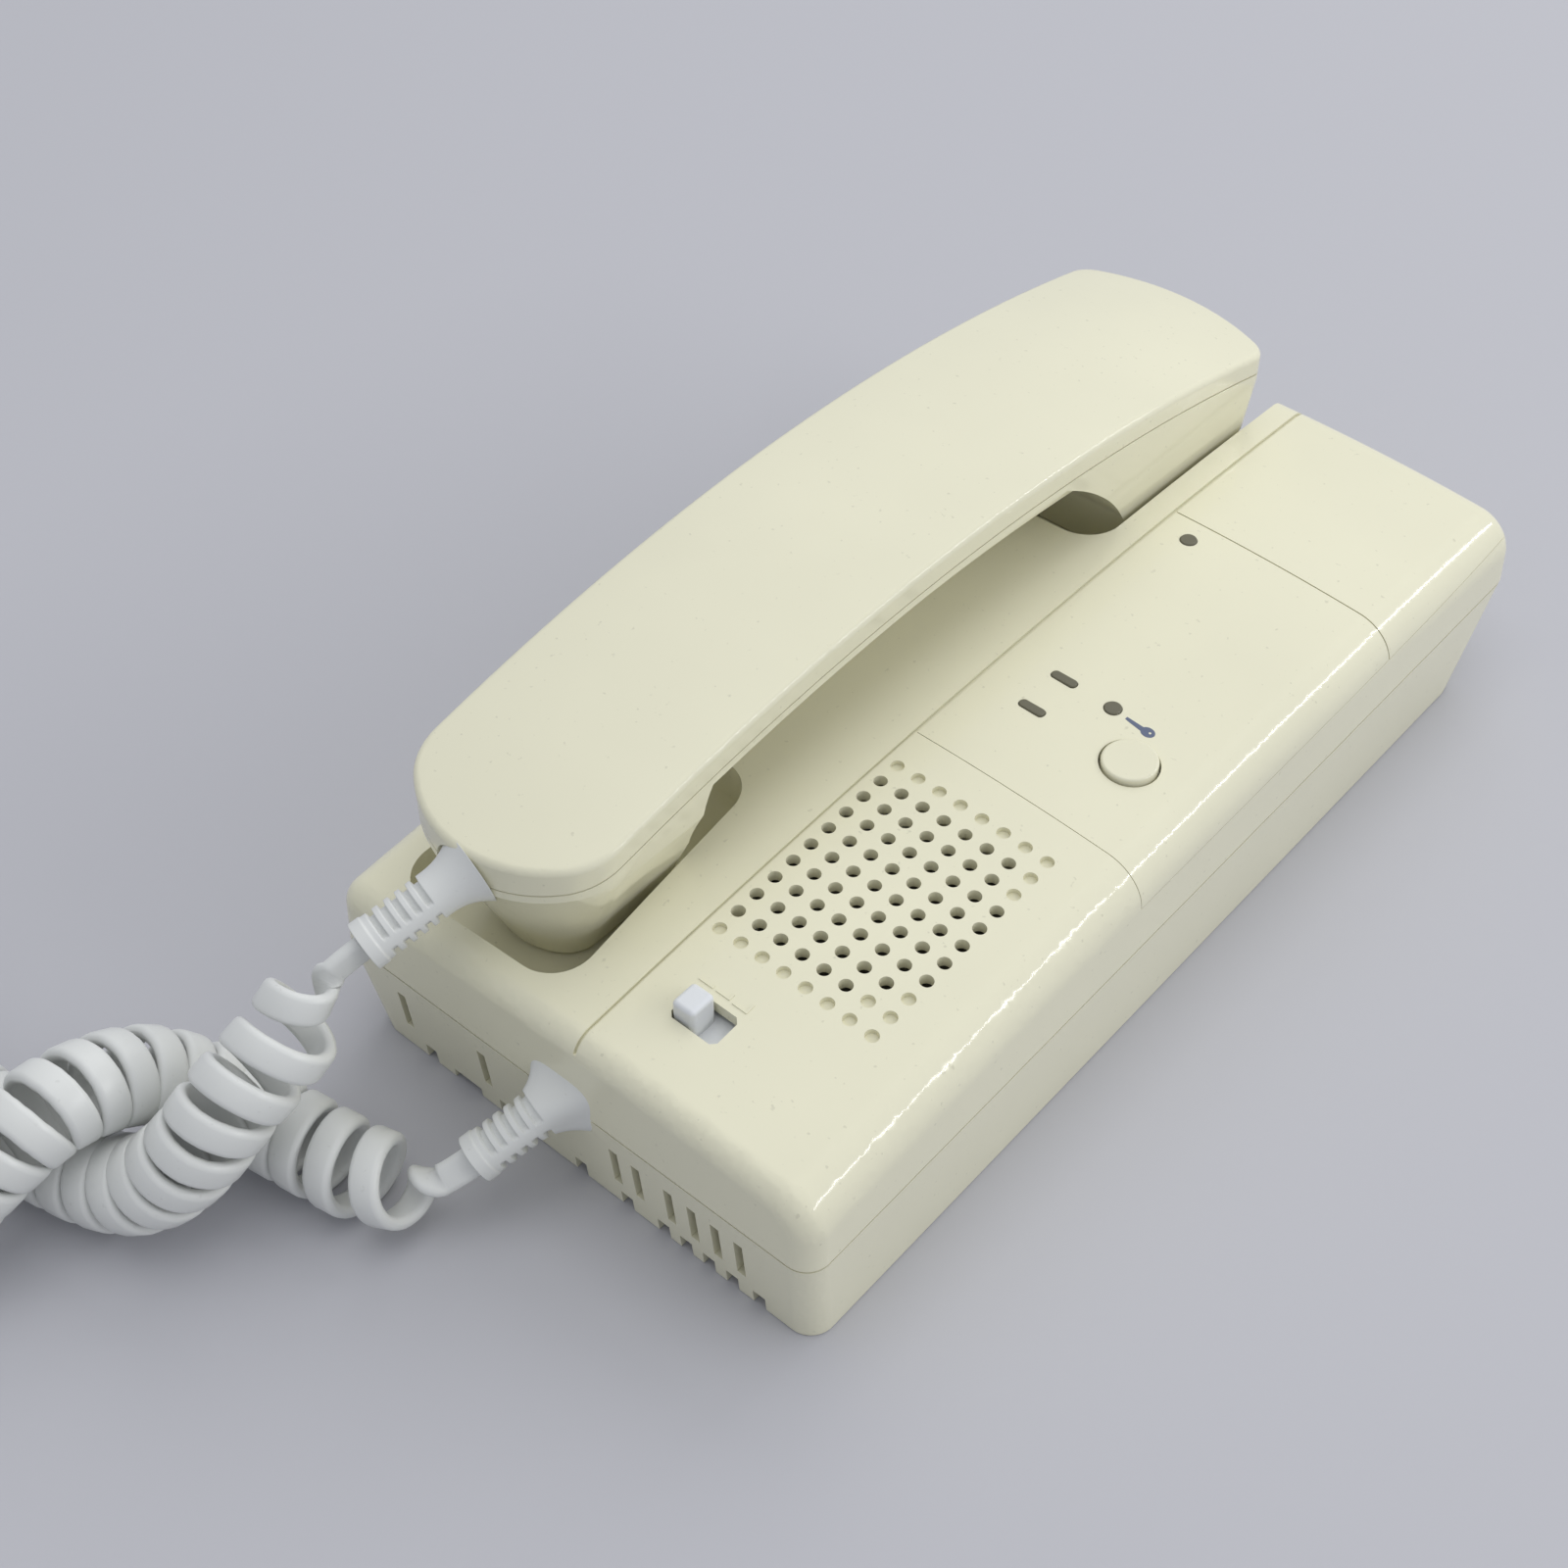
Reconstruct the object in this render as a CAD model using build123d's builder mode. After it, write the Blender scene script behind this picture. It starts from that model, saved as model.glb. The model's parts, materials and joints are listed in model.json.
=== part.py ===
"""A wall intercom master station: case, control panel, handset on its cradle and curly cord."""
from build123d import *
from math import asin, cos, degrees, pi, radians, sin, sqrt, tan
import os

os.makedirs("parts", exist_ok=True)

# Case, millimetres: the origin is the middle of the seam outline, on the wall face
case_width = 104.8
case_length = 210.2
case_height = 41.5
seam_height = 20.8
seam_gap = 0.4
wall = 2.2
lean_left = 4.4
lean_right = 0.6
lean_bottom = 1.7
lean_top = 12.1
end_rounding = 4.5
right_rounding = 8.5
left_rounding = 5.5
cover_draft = 2.5

# The face is crowned both ways, highest at one point
crest_x = 3.1
crest_y = -2.6
crown_radius_along = 1240.0
crown_radius_across = 427.0

# One overrun for every cut, one gap for pieces that move, one for pieces that are fitted
overrun = 1.0
running_gap = 0.3
fit_gap = 0.15

# Groove and the two inset panels
groove_x = 4.0
groove_width = 0.6
groove_depth = 0.6
panel_seam_low = -20.3
panel_seam_high = 57.9
panel_seam_width = 0.3
panel_thickness = 2.0
panel_edge_height = 31.1
groove_end_height = 34.6

# Handset: centre line, plan and arched length
handset_x = -23.7
arch_crest_y = -10.5
arch_crest_z = 63.45
arch_radius = 391.5
mouth_half_width = 20.4
ear_half_width = 22.2
mouth_corner_y = -88.8
mouth_end_y = -99.7
ear_corner_y = 94.0
ear_end_y = 99.0
mouth_corner = 12.0
ear_corner = 5.5
outer_shell_height = 5.0
handset_wall = 2.0
handset_seam = 0.3
handle_lip = 1.6
belly_depth = 9.0
belly_inset = 5.0
handset_crown = 0.9
shell_edge = 1.4

# Handset cups and the recesses that they rest in
mouth_cup_start = -66.0
mouth_cup_foot = 28.0
ear_cup_inset = 2.2
ear_cup_start = 51.0
ear_cup_foot = 28.0
ear_slope_y = 25.5
ear_slope_low = 38.5
ear_foot_step = 1.5
mouth_slope_y = -62.0
mouth_slope_low = 44.0
mouth_cup_inset = 10.0
cup_foot_rounding = 1.5
slope_bow = 1.8
cup_wall = 2.0
mouth_recess_right = -5.0
mouth_recess_left = -44.8
mouth_recess_low = -98.3
mouth_recess_high = -46.0
ear_recess_right = -1.5
ear_recess_left = -47.4
ear_recess_low = 39.5
recess_rounding = 7.5
recess_wall = 2.0
ear_ramp_start = 96.0
ear_ramp_end_height = 23.6
recess_dish = 4.5
ear_recess_dish = 2.2

# Speaker lattice: one open grid with blind dimples round its corners
lattice_x = 6.55
lattice_y = -28.5
lattice_pitch = 4.5
lattice_columns = 8
lattice_rows = 11
lattice_hole = 2.45
dimple_depth = 1.0
open_rows_by_column = [(2, 10)] * 6 + [(2, 9), (4, 8)]

# Speaker behind the lattice
speaker_diameter = 50.0
speaker_frame_thickness = 1.2
speaker_magnet_diameter = 26.0
speaker_magnet_height = 6.0
speaker_cone_thickness = 0.5
speaker_throat_diameter = 14.0
basket_low = 21.0
basket_waist = 22.0
cone_low = 24.5
cone_edge = 20.4
clamp_width = 7.0
clamp_length = 12.0
clamp_thickness = 1.5
clamp_turn = 45.0

# Control panel: lamps, windows and button
lamp_diameter = 3.2
power_lamp_x = 10.55
power_lamp_y = 52.4
call_lamp_x = 26.0
call_lamp_y = 6.6
window_length = 5.2
window_width = 1.9
window_x = 15.6
window_upper_y = 6.6
window_lower_y = -2.8
lamp_flange = 0.8
lamp_proud = 0.3
lamp_gap = 0.1
lamp_drop = 0.3
lamp_rounding = 0.25
window_rounding = 0.9
emitter_height = 1.6
emitter_diameter = 2.4
button_x = 35.5
button_y = -1.8
button_diameter = 10.0
button_ring_gap = 0.4
button_proud = 1.0
button_travel = 1.0
button_flange = 1.2
button_drop = 0.6
button_rounding = 0.5
button_flange_diameter = 12.4
release_switch_size = 6.0
release_switch_pin = 1.0
button_spring_diameter = 11.0
button_spring_turns = 3

# Volume slide in its slot by the lower end
slot_left = 11.3
slot_right = 20.9
slot_low = -91.0
slot_high = -84.6
slot_corner = 0.9
knob_length = 4.6
knob_proud = 3.0
slider_plate_thickness = 1.0
slider_plate_margin = 3.0
slider_lever = 1.6
knob_side_gap = 0.5
knob_rounding = 0.9

# Vents and the notched lower edge, in the lower end wall
vent_width = 1.8
vent_low = 6.3
vent_high = 15.6
vent_places = [-38.5, -19.4, 10.7, 15.5, 22.5, 27.5, 32.4, 37.3]
notch_width = 2.6
notch_height = 3.4
notch_places = [-34.2, -16.2, 1.5, 12.0, 20.1, 25.0, 29.9, 34.9, 40.6]
wide_notch_left = -28.7
wide_notch_right = -22.2
wide_notch_height = 2.2

# Back of the case and its wall bracket
back_thickness = 2.4
bracket_recess = 3.4
bracket_width = 66.0
bracket_length = 116.0
bracket_thickness = 1.2
bracket_y = -4.0
bracket_clearance = 0.6
bracket_corner = 4.0
box_screw_spacing = 83.5
box_screw_hole = 4.4
cable_hole = 30.0
hook_tab_width = 8.0
hook_tab_height = 5.0
hook_tab_spacing = 40.0
hook_slot_length = 4.0

# Screws, one thread size for the case and the boards
screw_diameter = 2.6
screw_head = 5.0
screw_head_height = 1.8
screw_clearance = 0.2
screw_cross = 0.8
pilot_spare = 0.4
boss_diameter = 7.0
case_boss_side_inset = 8.4
case_boss_low_inset = 17.1
case_boss_high_inset = 27.1
case_screw_seat = 5.4
case_screw_length = 17.6
small_screw_length = 5.0
panel_screw_length = 2.6

# Main board in the rear case
board_height = 9.0
board_thickness = 1.6
board_left_inset = 16.4
board_right_inset = 14.4
board_low_inset = 21.1
board_high_inset = 23.1
board_boss_inset = 4.5
component_gap = 0.02

# Control board under the inset panel
control_board_drop = 9.0
control_board_left_inset = 3.0
control_board_right_inset = 6.4
control_board_low = -17.0
control_board_high = 56.0
control_boss_high = 40.0
control_boss_diameter = 5.6
control_board_thickness = 1.2

# Volume board, hung from the cover
volume_board_drop = 16.1
volume_boss_reach = 15.1
slider_body_length = 24.0
slider_body_width = 8.0
slider_body_height = 5.0
slider_lever_depth = 4.0
slider_margin = 2.0
slider_track = 16.0

# Inner ledge of the cover under the inset panels
pan_thickness = 1.5
mouth_recess_taper = 4.5
speaker_seat_drop = 8.5
speaker_rim = 2.0
clamp_overlap = 3.8

# Hook plunger, its spring and the hook switch
plunger_y = 72.0
plunger_diameter = 6.0
plunger_travel = 3.0
plunger_flange = 10.0
plunger_flange_thickness = 1.2
hook_spring_diameter = 8.6
spring_wire = 0.6
spring_turns = 3
switch_length = 10.0
switch_width = 19.0
switch_height = 6.4
switch_pin_diameter = 3.0
plunger_sunk = 0.1
plunger_rounding = 1.0
switch_pin_height = 1.2

# Parts on the main board
terminal_length = 40.0
terminal_width = 12.0
terminal_height = 10.0
terminal_ways = 6
terminal_y = 20.0
terminal_screw = 3.4
terminal_x = 8.0
terminal_well = 4.2
terminal_mouth = 4.0
transformer_size = (22.0, 18.0, 12.0)
transformer_coil = 13.0
coil_wall = 1.0
transformer_x = -20.0
transformer_y = -42.0
relay_size = (19.0, 15.5, 11.0)
relay_x = 22.0
relay_y = 44.0
capacitor_diameter = 8.0
capacitor_height = 11.5
capacitor_spots = [(-2.0, 44.0), (-2.0, 55.0), (8.0, 55.0)]
connector_size = (12.0, 7.0, 8.0)
connector_x = -20.0
connector_y = -70.0
connector_wall = 1.2

# Handset contents
receiver_diameter = 32.0
receiver_height = 8.0
gasket_thickness = 1.0
receiver_y = 74.0
microphone_diameter = 9.7
microphone_height = 6.7
microphone_y = -79.5
grommet_wall = 1.6
weight_length = 44.0
weight_width = 16.0
weight_thickness = 4.0
handset_screw_ys = [-55.0, 20.0]
handset_screw_length = 8.0
screw_sunk = 0.4
pad_thickness = 2.0
ear_hole = 2.0
ear_holes = 6
ear_hole_ring = 7.0
gasket_opening = 20.0
lead_diameter = 1.4
lead_spread = 1.5
lead_run = 3.0
lead_side = 10.5
lead_rise = 0.6
lead_ys = [-72.0, -40.0, -8.0, 24.0, 50.0]
fillet_share = 0.45
tail_diameter = 2.4
tail_route = [(-4.0, -90.0, 17.0), (-14.0, -80.0, 17.0)]
link_x = 32.0
link_y = 2.0
link_bow = 3.0
link_thickness = 0.8
link_width = 10.0

# Strain reliefs: flared collar, slit barrel and cut end
relief_diameter = 7.4
relief_collar = 11.0
relief_collar_length = 3.0
relief_flange = 9.5
relief_flange_thickness = 1.6
wire_bore = 5.0
relief_ring_gap = 1.0
relief_ring_pitch = 2.6
relief_rings = 5
relief_ring_depth = 0.8
relief_web = 1.4
case_relief_inward = 6.3
handset_relief_inward = 2.5
relief_collar_flare = 20.0
handset_relief_root = (-23.7, -98.5, 52.6)
handset_relief_end = (-29.2, -116.1, 46.0)
case_relief_root = (0.0, -104.2, 20.8)
case_relief_end = (-5.9, -119.2, 14.0)

# Curly cord: the route of its coil from the handset to the case, points chosen by hand
cord_diameter = 4.4
coil_radius = 5.7
coil_turns = 50
open_length = 30.0
open_pitch_ratio = 1.8
ramp_turns = 1.0
ramp_step = 0.25
coil_step = 0.5
turn_nudge = 0.01
route_steps = 1500
straight_cosine = 0.999999
self_reach = 3
arc_shares = (0, 1 / 3, 2 / 3)
cord_route = [
    (-29.2, -116.1, 46.0),
    (-30.604, -120.594, 44.315),
    (-31.9, -124.9, 41.0),
    (-32.4, -128.6, 37.4),
    (-32.7, -132.9, 34.0),
    (-33.5, -138.7, 31.0),
    (-34.5, -144.3, 27.3),
    (-36.1, -149.7, 21.4),
    (-42.0, -155.4, 12.6),
    (-50.7, -158.9, 8.8),
    (-61.8, -161.4, 8.4),
    (-71.8, -162.8, 8.5),
    (-84.9, -164.7, 8.4),
    (-103.0, -168.0, 8.5),
    (-120.0, -178.0, 8.4),
    (-129.0, -196.0, 8.5),
    (-125.0, -216.0, 8.4),
    (-109.0, -228.5, 8.5),
    (-89.0, -228.0, 8.4),
    (-73.5, -216.0, 8.5),
    (-66.5, -200.0, 8.6),
    (-64.0, -186.5, 10.5),
    (-59.4, -175.9, 20.6),
    (-57.0, -166.1, 26.0),
    (-56.5, -157.2, 26.1),
    (-55.4, -145.9, 21.4),
    (-51.6, -139.8, 15.4),
    (-46.2, -136.2, 11.0),
    (-37.8, -133.5, 8.6),
    (-26.9, -131.8, 8.4),
    (-18.4, -130.2, 8.6),
    (-11.2, -127.4, 9.6),
    (-7.586, -123.487, 12.056),
    (-5.9, -119.2, 14.0),
]

# Worked out from the driving dimensions
half_width = case_width / 2
half_length = case_length / 2
base_left = half_width - lean_left
base_right = half_width - lean_right
base_bottom = half_length - lean_bottom
base_top = half_length - lean_top
case_boss_x = half_width - case_boss_side_inset
case_boss_y = half_length - case_boss_low_inset
case_boss_upper_y = half_length - case_boss_high_inset
board_left = board_left_inset - half_width
board_right = half_width - board_right_inset
board_low = board_low_inset - half_length
board_high = half_length - board_high_inset
control_board_left = groove_x + control_board_left_inset
control_board_right = half_width - control_board_right_inset
cover_base = seam_height + seam_gap / 2
case_rim = seam_height - seam_gap / 2
back_inside = bracket_recess + back_thickness
recess_floor = mouth_cup_foot - running_gap
pocket_underside = recess_floor - recess_wall
board_top = board_height + board_thickness
control_board_top = case_height - control_board_drop
volume_board_top = case_height - volume_board_drop
speaker_seat = case_height - speaker_seat_drop
clamp_seat = speaker_seat - speaker_rim
speaker_x = lattice_x + (lattice_columns - 1) / 2 * lattice_pitch
speaker_y = lattice_y - (lattice_rows - 1) / 2 * lattice_pitch
slot_x = (slot_left + slot_right) / 2
slot_y = (slot_low + slot_high) / 2
clamp_ring = speaker_diameter / 2 + clamp_overlap
plunger_spot = (handset_x, plunger_y)
lamp_spots = [(power_lamp_x, power_lamp_y), (call_lamp_x, call_lamp_y)]
window_spots = [(window_x, window_upper_y), (window_x, window_lower_y)]
button_spot = (button_x, button_y)
pilot = screw_diameter + 2 * component_gap
case_pilot_end = case_screw_seat + case_screw_length + pilot_spare
volume_pilot_end = volume_board_top + small_screw_length
control_pilot_end = control_board_top + panel_screw_length
button_way = button_flange_diameter + 2 * fit_gap
ledge_clearance = lamp_flange + running_gap
control_spots = [
    (x, y)
    for x in (control_board_left + control_boss_diameter / 2, control_board_right - control_boss_diameter / 2)
    for y in (control_board_low + control_boss_diameter / 2, control_boss_high)
]
hook_spots = [
    (side * hook_tab_spacing / 2, bracket_y + end * bracket_length / 4) for side in (-1, 1) for end in (-1, 1)
]
volume_spots = [(slot_x + side * volume_boss_reach, slot_y) for side in (-1, 1)]
clamp_spots = [
    (speaker_x + across * clamp_ring * sqrt(1 / 2), speaker_y + along * clamp_ring * sqrt(1 / 2))
    for across in (-1, 1)
    for along in (-1, 1)
]
case_spots = [(side * case_boss_x, end) for side in (-1, 1) for end in (-case_boss_y, case_boss_upper_y)]
board_spots = [
    (x, y)
    for x in (board_left + board_boss_inset, board_right - board_boss_inset)
    for y in (board_low + board_boss_inset, board_high - board_boss_inset)
]


def face_height(x, y):
    """Height of the crowned face over a point of the plan."""
    across = crown_radius_across - sqrt(crown_radius_across**2 - (x - crest_x) ** 2)
    along = crown_radius_along - sqrt(crown_radius_along**2 - (y - crest_y) ** 2)
    return case_height - across - along


def parting_height(y):
    """Height of the handset's arched parting line over a place along its length."""
    return arch_crest_z - arch_radius + sqrt(arch_radius**2 - (y - arch_crest_y) ** 2)


def arch_plane(x, y, z, half_turn):
    """A plane through an arch's axis, swung back to the arch's lower end, with its second axis outwards."""
    return Plane(origin=(x, y, z), x_dir=(1, 0, 0), z_dir=(0, -cos(half_turn), -sin(half_turn)))


def cover_form(inset):
    """The front cover's outer form above the seam, drawn in evenly all round."""
    half_turn = asin(case_length / crown_radius_along)
    radius_along = crown_radius_along - inset
    radius_across = crown_radius_across - inset
    edge = radius_along - radius_across + sqrt(radius_across**2 - case_width**2)
    low = radius_along - case_height
    pivot = case_height - crown_radius_along
    with BuildPart() as form:
        with BuildSketch(Plane.XY.offset(cover_base)):
            Rectangle(case_width - 2 * inset, case_length - 2 * inset)
        extrude(amount=case_height, taper=cover_draft)
        with BuildSketch(arch_plane(crest_x, crest_y, pivot, half_turn)):
            with BuildLine():
                ThreePointArc((-case_width, edge), (0, radius_along), (case_width, edge))
                Polyline((case_width, edge), (case_width, low), (-case_width, low), (-case_width, edge))
            make_face()
        revolve(
            axis=Axis((crest_x, crest_y, pivot), (-1, 0, 0)),
            revolution_arc=degrees(2 * half_turn),
            mode=Mode.INTERSECT,
        )
        top_edges = form.faces().sort_by(Axis.Z)[-1].edges()
        fillet(top_edges.sort_by(Axis.X)[-1], right_rounding - inset)
        top_edges = form.faces().sort_by(Axis.Z)[-1].edges()
        fillet(top_edges.sort_by(Axis.X)[0], left_rounding - inset)
        for end in (0, -1):
            end_edges = form.faces().sort_by(Axis.Y)[end].edges().sort_by(Axis.Z)[1:]
            fillet(end_edges, end_rounding - inset)
    return form.part


def slab(x0, x1, y0, y1, z0, z1):
    """A plain box between two corners."""
    with BuildPart() as box:
        with BuildSketch(Plane.XY.offset(z0)):
            with Locations(((x0 + x1) / 2, (y0 + y1) / 2)):
                Rectangle(x1 - x0, y1 - y0)
        extrude(amount=z1 - z0)
    return box.part


def outside(form, zone):
    """The part of a zone that lies outside of a form."""
    with BuildPart() as piece:
        add(zone)
        add(form, mode=Mode.SUBTRACT)
    return piece.part


def posts(spots, z0, z1, diameter):
    """Upright cylinders at a list of places."""
    with BuildPart() as group:
        with BuildSketch(Plane.XY.offset(z0)):
            with Locations(*spots):
                Circle(diameter / 2)
        extrude(amount=z1 - z0)
    return group.part


def screws(spots, seat, length, downwards=1):
    """Pan-head screws at a list of places: the head hangs below the seat, or stands above it."""
    with BuildPart() as group:
        with BuildSketch(Plane.XY.offset(seat)):
            with Locations(*spots):
                Circle(screw_diameter / 2)
        extrude(amount=downwards * length)
        with BuildSketch(Plane.XY.offset(seat)):
            with Locations(*spots):
                Circle(screw_head / 2)
        extrude(amount=-downwards * screw_head_height)
        with BuildSketch(Plane.XY.offset(seat - downwards * screw_head_height)):
            with Locations(*spots):
                Rectangle(screw_head - screw_cross, screw_cross)
                Rectangle(screw_cross, screw_head - screw_cross)
        extrude(amount=downwards * screw_cross, mode=Mode.SUBTRACT)
    return group.part


def keep(piece, name):
    """Names a finished piece and writes it."""
    piece.label = name
    print(name, len(piece.solids()), piece.is_valid)
    export_step(piece, f"parts/{name}.step")


outer_form = cover_form(0)
inner_form = cover_form(wall)
panel_form = cover_form(panel_thickness)
rebate_form = cover_form(panel_thickness + fit_gap)
pan_form = cover_form(panel_thickness + fit_gap + pan_thickness)
groove_form = cover_form(groove_depth)
dimple_form = cover_form(dimple_depth)
above = 2 * case_height
panel_zone = slab(groove_x, case_width, panel_seam_low, case_length, panel_edge_height, above)
pan_zone = slab(
    groove_x - wall, case_width, panel_seam_low - wall, case_length, panel_edge_height - wall, above
)


def ear_ramp(floor, start, left, right):
    """The room over the ramp from the ear recess's floor out over the case's upper end."""
    slope = (recess_floor - ear_ramp_end_height) / (half_length - ear_ramp_start)
    low = floor - slope * (case_length - start)
    with BuildPart() as ramp:
        with BuildSketch(Plane.YZ.offset(left)):
            with BuildLine():
                Polyline((start, floor), (case_length, low), (case_length, above), (start, above), close=True)
            make_face()
        extrude(amount=right - left)
    return ramp.part


def recess_plan(left, right, low, high, taper, grown):
    """A rounded recess outline, narrower by its taper at the upper end, grown by a wall."""
    with BuildSketch() as plan:
        with BuildLine():
            Polyline(
                (left - grown, low - grown),
                (right + grown, low - grown),
                (right + grown - taper, high + grown),
                (left - grown + taper, high + grown),
                close=True,
            )
        make_face()
        fillet(plan.vertices(), recess_rounding + grown)
    return plan.sketch


def dished(recess, rounding):
    """The room of a handset recess, rounded all round its floor."""
    with BuildPart() as room:
        with BuildSketch(Plane.XY.offset(recess_floor)):
            add(recess_plan(*recess, 0))
        extrude(amount=case_height)
        fillet(room.faces().sort_by(Axis.Z)[0].edges(), rounding)
    return room.part


mouth_recess_ends = (mouth_recess_low, mouth_recess_high)
mouth_recess = (mouth_recess_left, mouth_recess_right, *mouth_recess_ends, mouth_recess_taper)
ear_recess = (ear_recess_left, ear_recess_right, ear_recess_low, case_length, 0)
lattice_holes = []
lattice_dimples = []
for column in range(lattice_columns):
    first_row, last_row = open_rows_by_column[column]
    for row in range(lattice_rows):
        spot = (lattice_x + column * lattice_pitch, lattice_y - row * lattice_pitch)
        if first_row <= row + 1 <= last_row:
            lattice_holes.append(spot)
        else:
            lattice_dimples.append(spot)


def relief(root, end, inward, flange):
    """A moulded strain relief: inner flange, neck, flared collar, slit barrel and cut end."""
    axis = (Vector(*end) - Vector(*root)).normalized()
    length = (Vector(*end) - Vector(*root)).length
    start = Vector(*root) - axis * inward
    frame = Plane(origin=start, x_dir=Vector(1, 0, 0) - axis * axis.X, z_dir=axis)
    half = relief_diameter / 2
    ring = half - relief_ring_depth
    groove_start = inward + length - relief_rings * relief_ring_pitch - relief_ring_gap
    with BuildPart() as piece:
        with BuildSketch(frame):
            Circle(flange / 2)
        extrude(amount=relief_flange_thickness)
        with BuildSketch(frame):
            Circle(half)
        extrude(amount=inward + length)
        with BuildSketch(frame.offset(inward)):
            Circle(relief_collar / 2)
        extrude(amount=relief_collar_length, taper=relief_collar_flare)
        for count in range(relief_rings):
            with BuildSketch(frame.offset(groove_start + count * relief_ring_pitch)):
                Circle(half)
                Circle(ring, mode=Mode.SUBTRACT)
                Rectangle(relief_web, relief_diameter, mode=Mode.SUBTRACT)
            extrude(amount=relief_ring_gap, mode=Mode.SUBTRACT)
    return piece.part


def relief_way(root, end, inward):
    """The room for a strain relief in a wall: a bore for its wires, its neck, then its collar outwards."""
    axis = (Vector(*end) - Vector(*root)).normalized()
    with BuildPart() as room:
        with BuildSketch(Plane(origin=Vector(*root) - axis * (inward + fit_gap), z_dir=axis)):
            Circle(relief_diameter / 2 + fit_gap)
        extrude(amount=inward + relief_collar)
        with BuildSketch(Plane(origin=Vector(*root) - axis * fit_gap, z_dir=axis)):
            Circle(relief_collar / 2 + fit_gap)
        extrude(amount=relief_collar)
        with BuildSketch(Plane(origin=Vector(*root) - axis * (inward + wire_bore), z_dir=axis)):
            Circle(wire_bore / 2)
        extrude(amount=wire_bore)
    return room.part


# What the front cover leaves free inside: all but bosses, the pockets' walls and the ledge under the panels
with BuildPart() as cover_hollow:
    add(inner_form)
    add(outside(pan_form, pan_zone), mode=Mode.SUBTRACT)
    with BuildSketch(Plane.XY.offset(pocket_underside)):
        add(recess_plan(*mouth_recess, recess_wall))
        add(recess_plan(-case_width, *ear_recess[1:], recess_wall))
    extrude(amount=case_height, mode=Mode.SUBTRACT)
    ramp_sides = (-case_width, ear_recess_right + recess_wall)
    add(ear_ramp(pocket_underside, ear_ramp_start - recess_wall, *ramp_sides), mode=Mode.SUBTRACT)
    add(posts(case_spots, cover_base, above, boss_diameter), mode=Mode.SUBTRACT)
    add(posts(clamp_spots, clamp_seat, above, boss_diameter), mode=Mode.SUBTRACT)
    add(posts(volume_spots, volume_board_top, above, control_boss_diameter), mode=Mode.SUBTRACT)
    add(posts(control_spots, control_board_top, above, control_boss_diameter), mode=Mode.SUBTRACT)
    with BuildSketch(Plane.XY.offset(speaker_seat)):
        with Locations((speaker_x, speaker_y)):
            Circle(speaker_diameter / 2)
            Circle(speaker_diameter / 2 - wall, mode=Mode.SUBTRACT)
    extrude(amount=case_height, mode=Mode.SUBTRACT)

# Front cover: a crowned shell with two handset recesses, a rebate for the panels and the speaker lattice
groove_zone = slab(groove_x - groove_width, groove_x, -case_length, case_length, groove_end_height, above)
with BuildPart() as front_cover:
    add(outer_form)
    add(cover_hollow.part, mode=Mode.SUBTRACT)
    add(outside(rebate_form, panel_zone), mode=Mode.SUBTRACT)
    add(dished(mouth_recess, recess_dish), mode=Mode.SUBTRACT)
    add(dished(ear_recess, ear_recess_dish), mode=Mode.SUBTRACT)
    add(ear_ramp(recess_floor, ear_ramp_start, ear_recess_left, ear_recess_right), mode=Mode.SUBTRACT)
    add(outside(groove_form, groove_zone), mode=Mode.SUBTRACT)
    with BuildSketch(Plane.XY.offset(cover_base)) as slot:
        with Locations((slot_x, slot_y)):
            Rectangle(slot_right - slot_left, slot_high - slot_low)
        chamfer(slot.vertices(), slot_corner)
    extrude(amount=case_height, mode=Mode.SUBTRACT)
    with BuildSketch(Plane.XY.offset(speaker_seat)):
        with Locations(*lattice_holes):
            Circle(lattice_hole / 2)
    extrude(amount=case_height, mode=Mode.SUBTRACT)
    add(outside(dimple_form, posts(lattice_dimples, speaker_seat, above, lattice_hole)), mode=Mode.SUBTRACT)
    with BuildSketch(Plane.XY.offset(pocket_underside - overrun)):
        with Locations(plunger_spot):
            Circle(plunger_diameter / 2 + running_gap)
    extrude(amount=case_height, mode=Mode.SUBTRACT)
    add(relief_way(case_relief_root, case_relief_end, case_relief_inward), mode=Mode.SUBTRACT)
    add(posts(case_spots, seam_height, case_pilot_end, pilot), mode=Mode.SUBTRACT)
    add(posts(clamp_spots, clamp_seat, clamp_seat + small_screw_length, pilot), mode=Mode.SUBTRACT)
    add(posts(volume_spots, volume_board_top, volume_pilot_end, pilot), mode=Mode.SUBTRACT)
    add(posts(control_spots, control_board_top, control_pilot_end, pilot), mode=Mode.SUBTRACT)
    add(posts(lamp_spots, control_board_top, above, lamp_diameter + 2 * ledge_clearance), mode=Mode.SUBTRACT)
    add(posts([button_spot], control_board_top, above, button_way), mode=Mode.SUBTRACT)
    with BuildSketch(Plane.XY.offset(control_board_top)):
        with Locations(*window_spots):
            Rectangle(window_length + 2 * ledge_clearance, window_width + 2 * ledge_clearance)
    extrude(amount=case_height, mode=Mode.SUBTRACT)
keep(front_cover.part, "front_cover")

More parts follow.
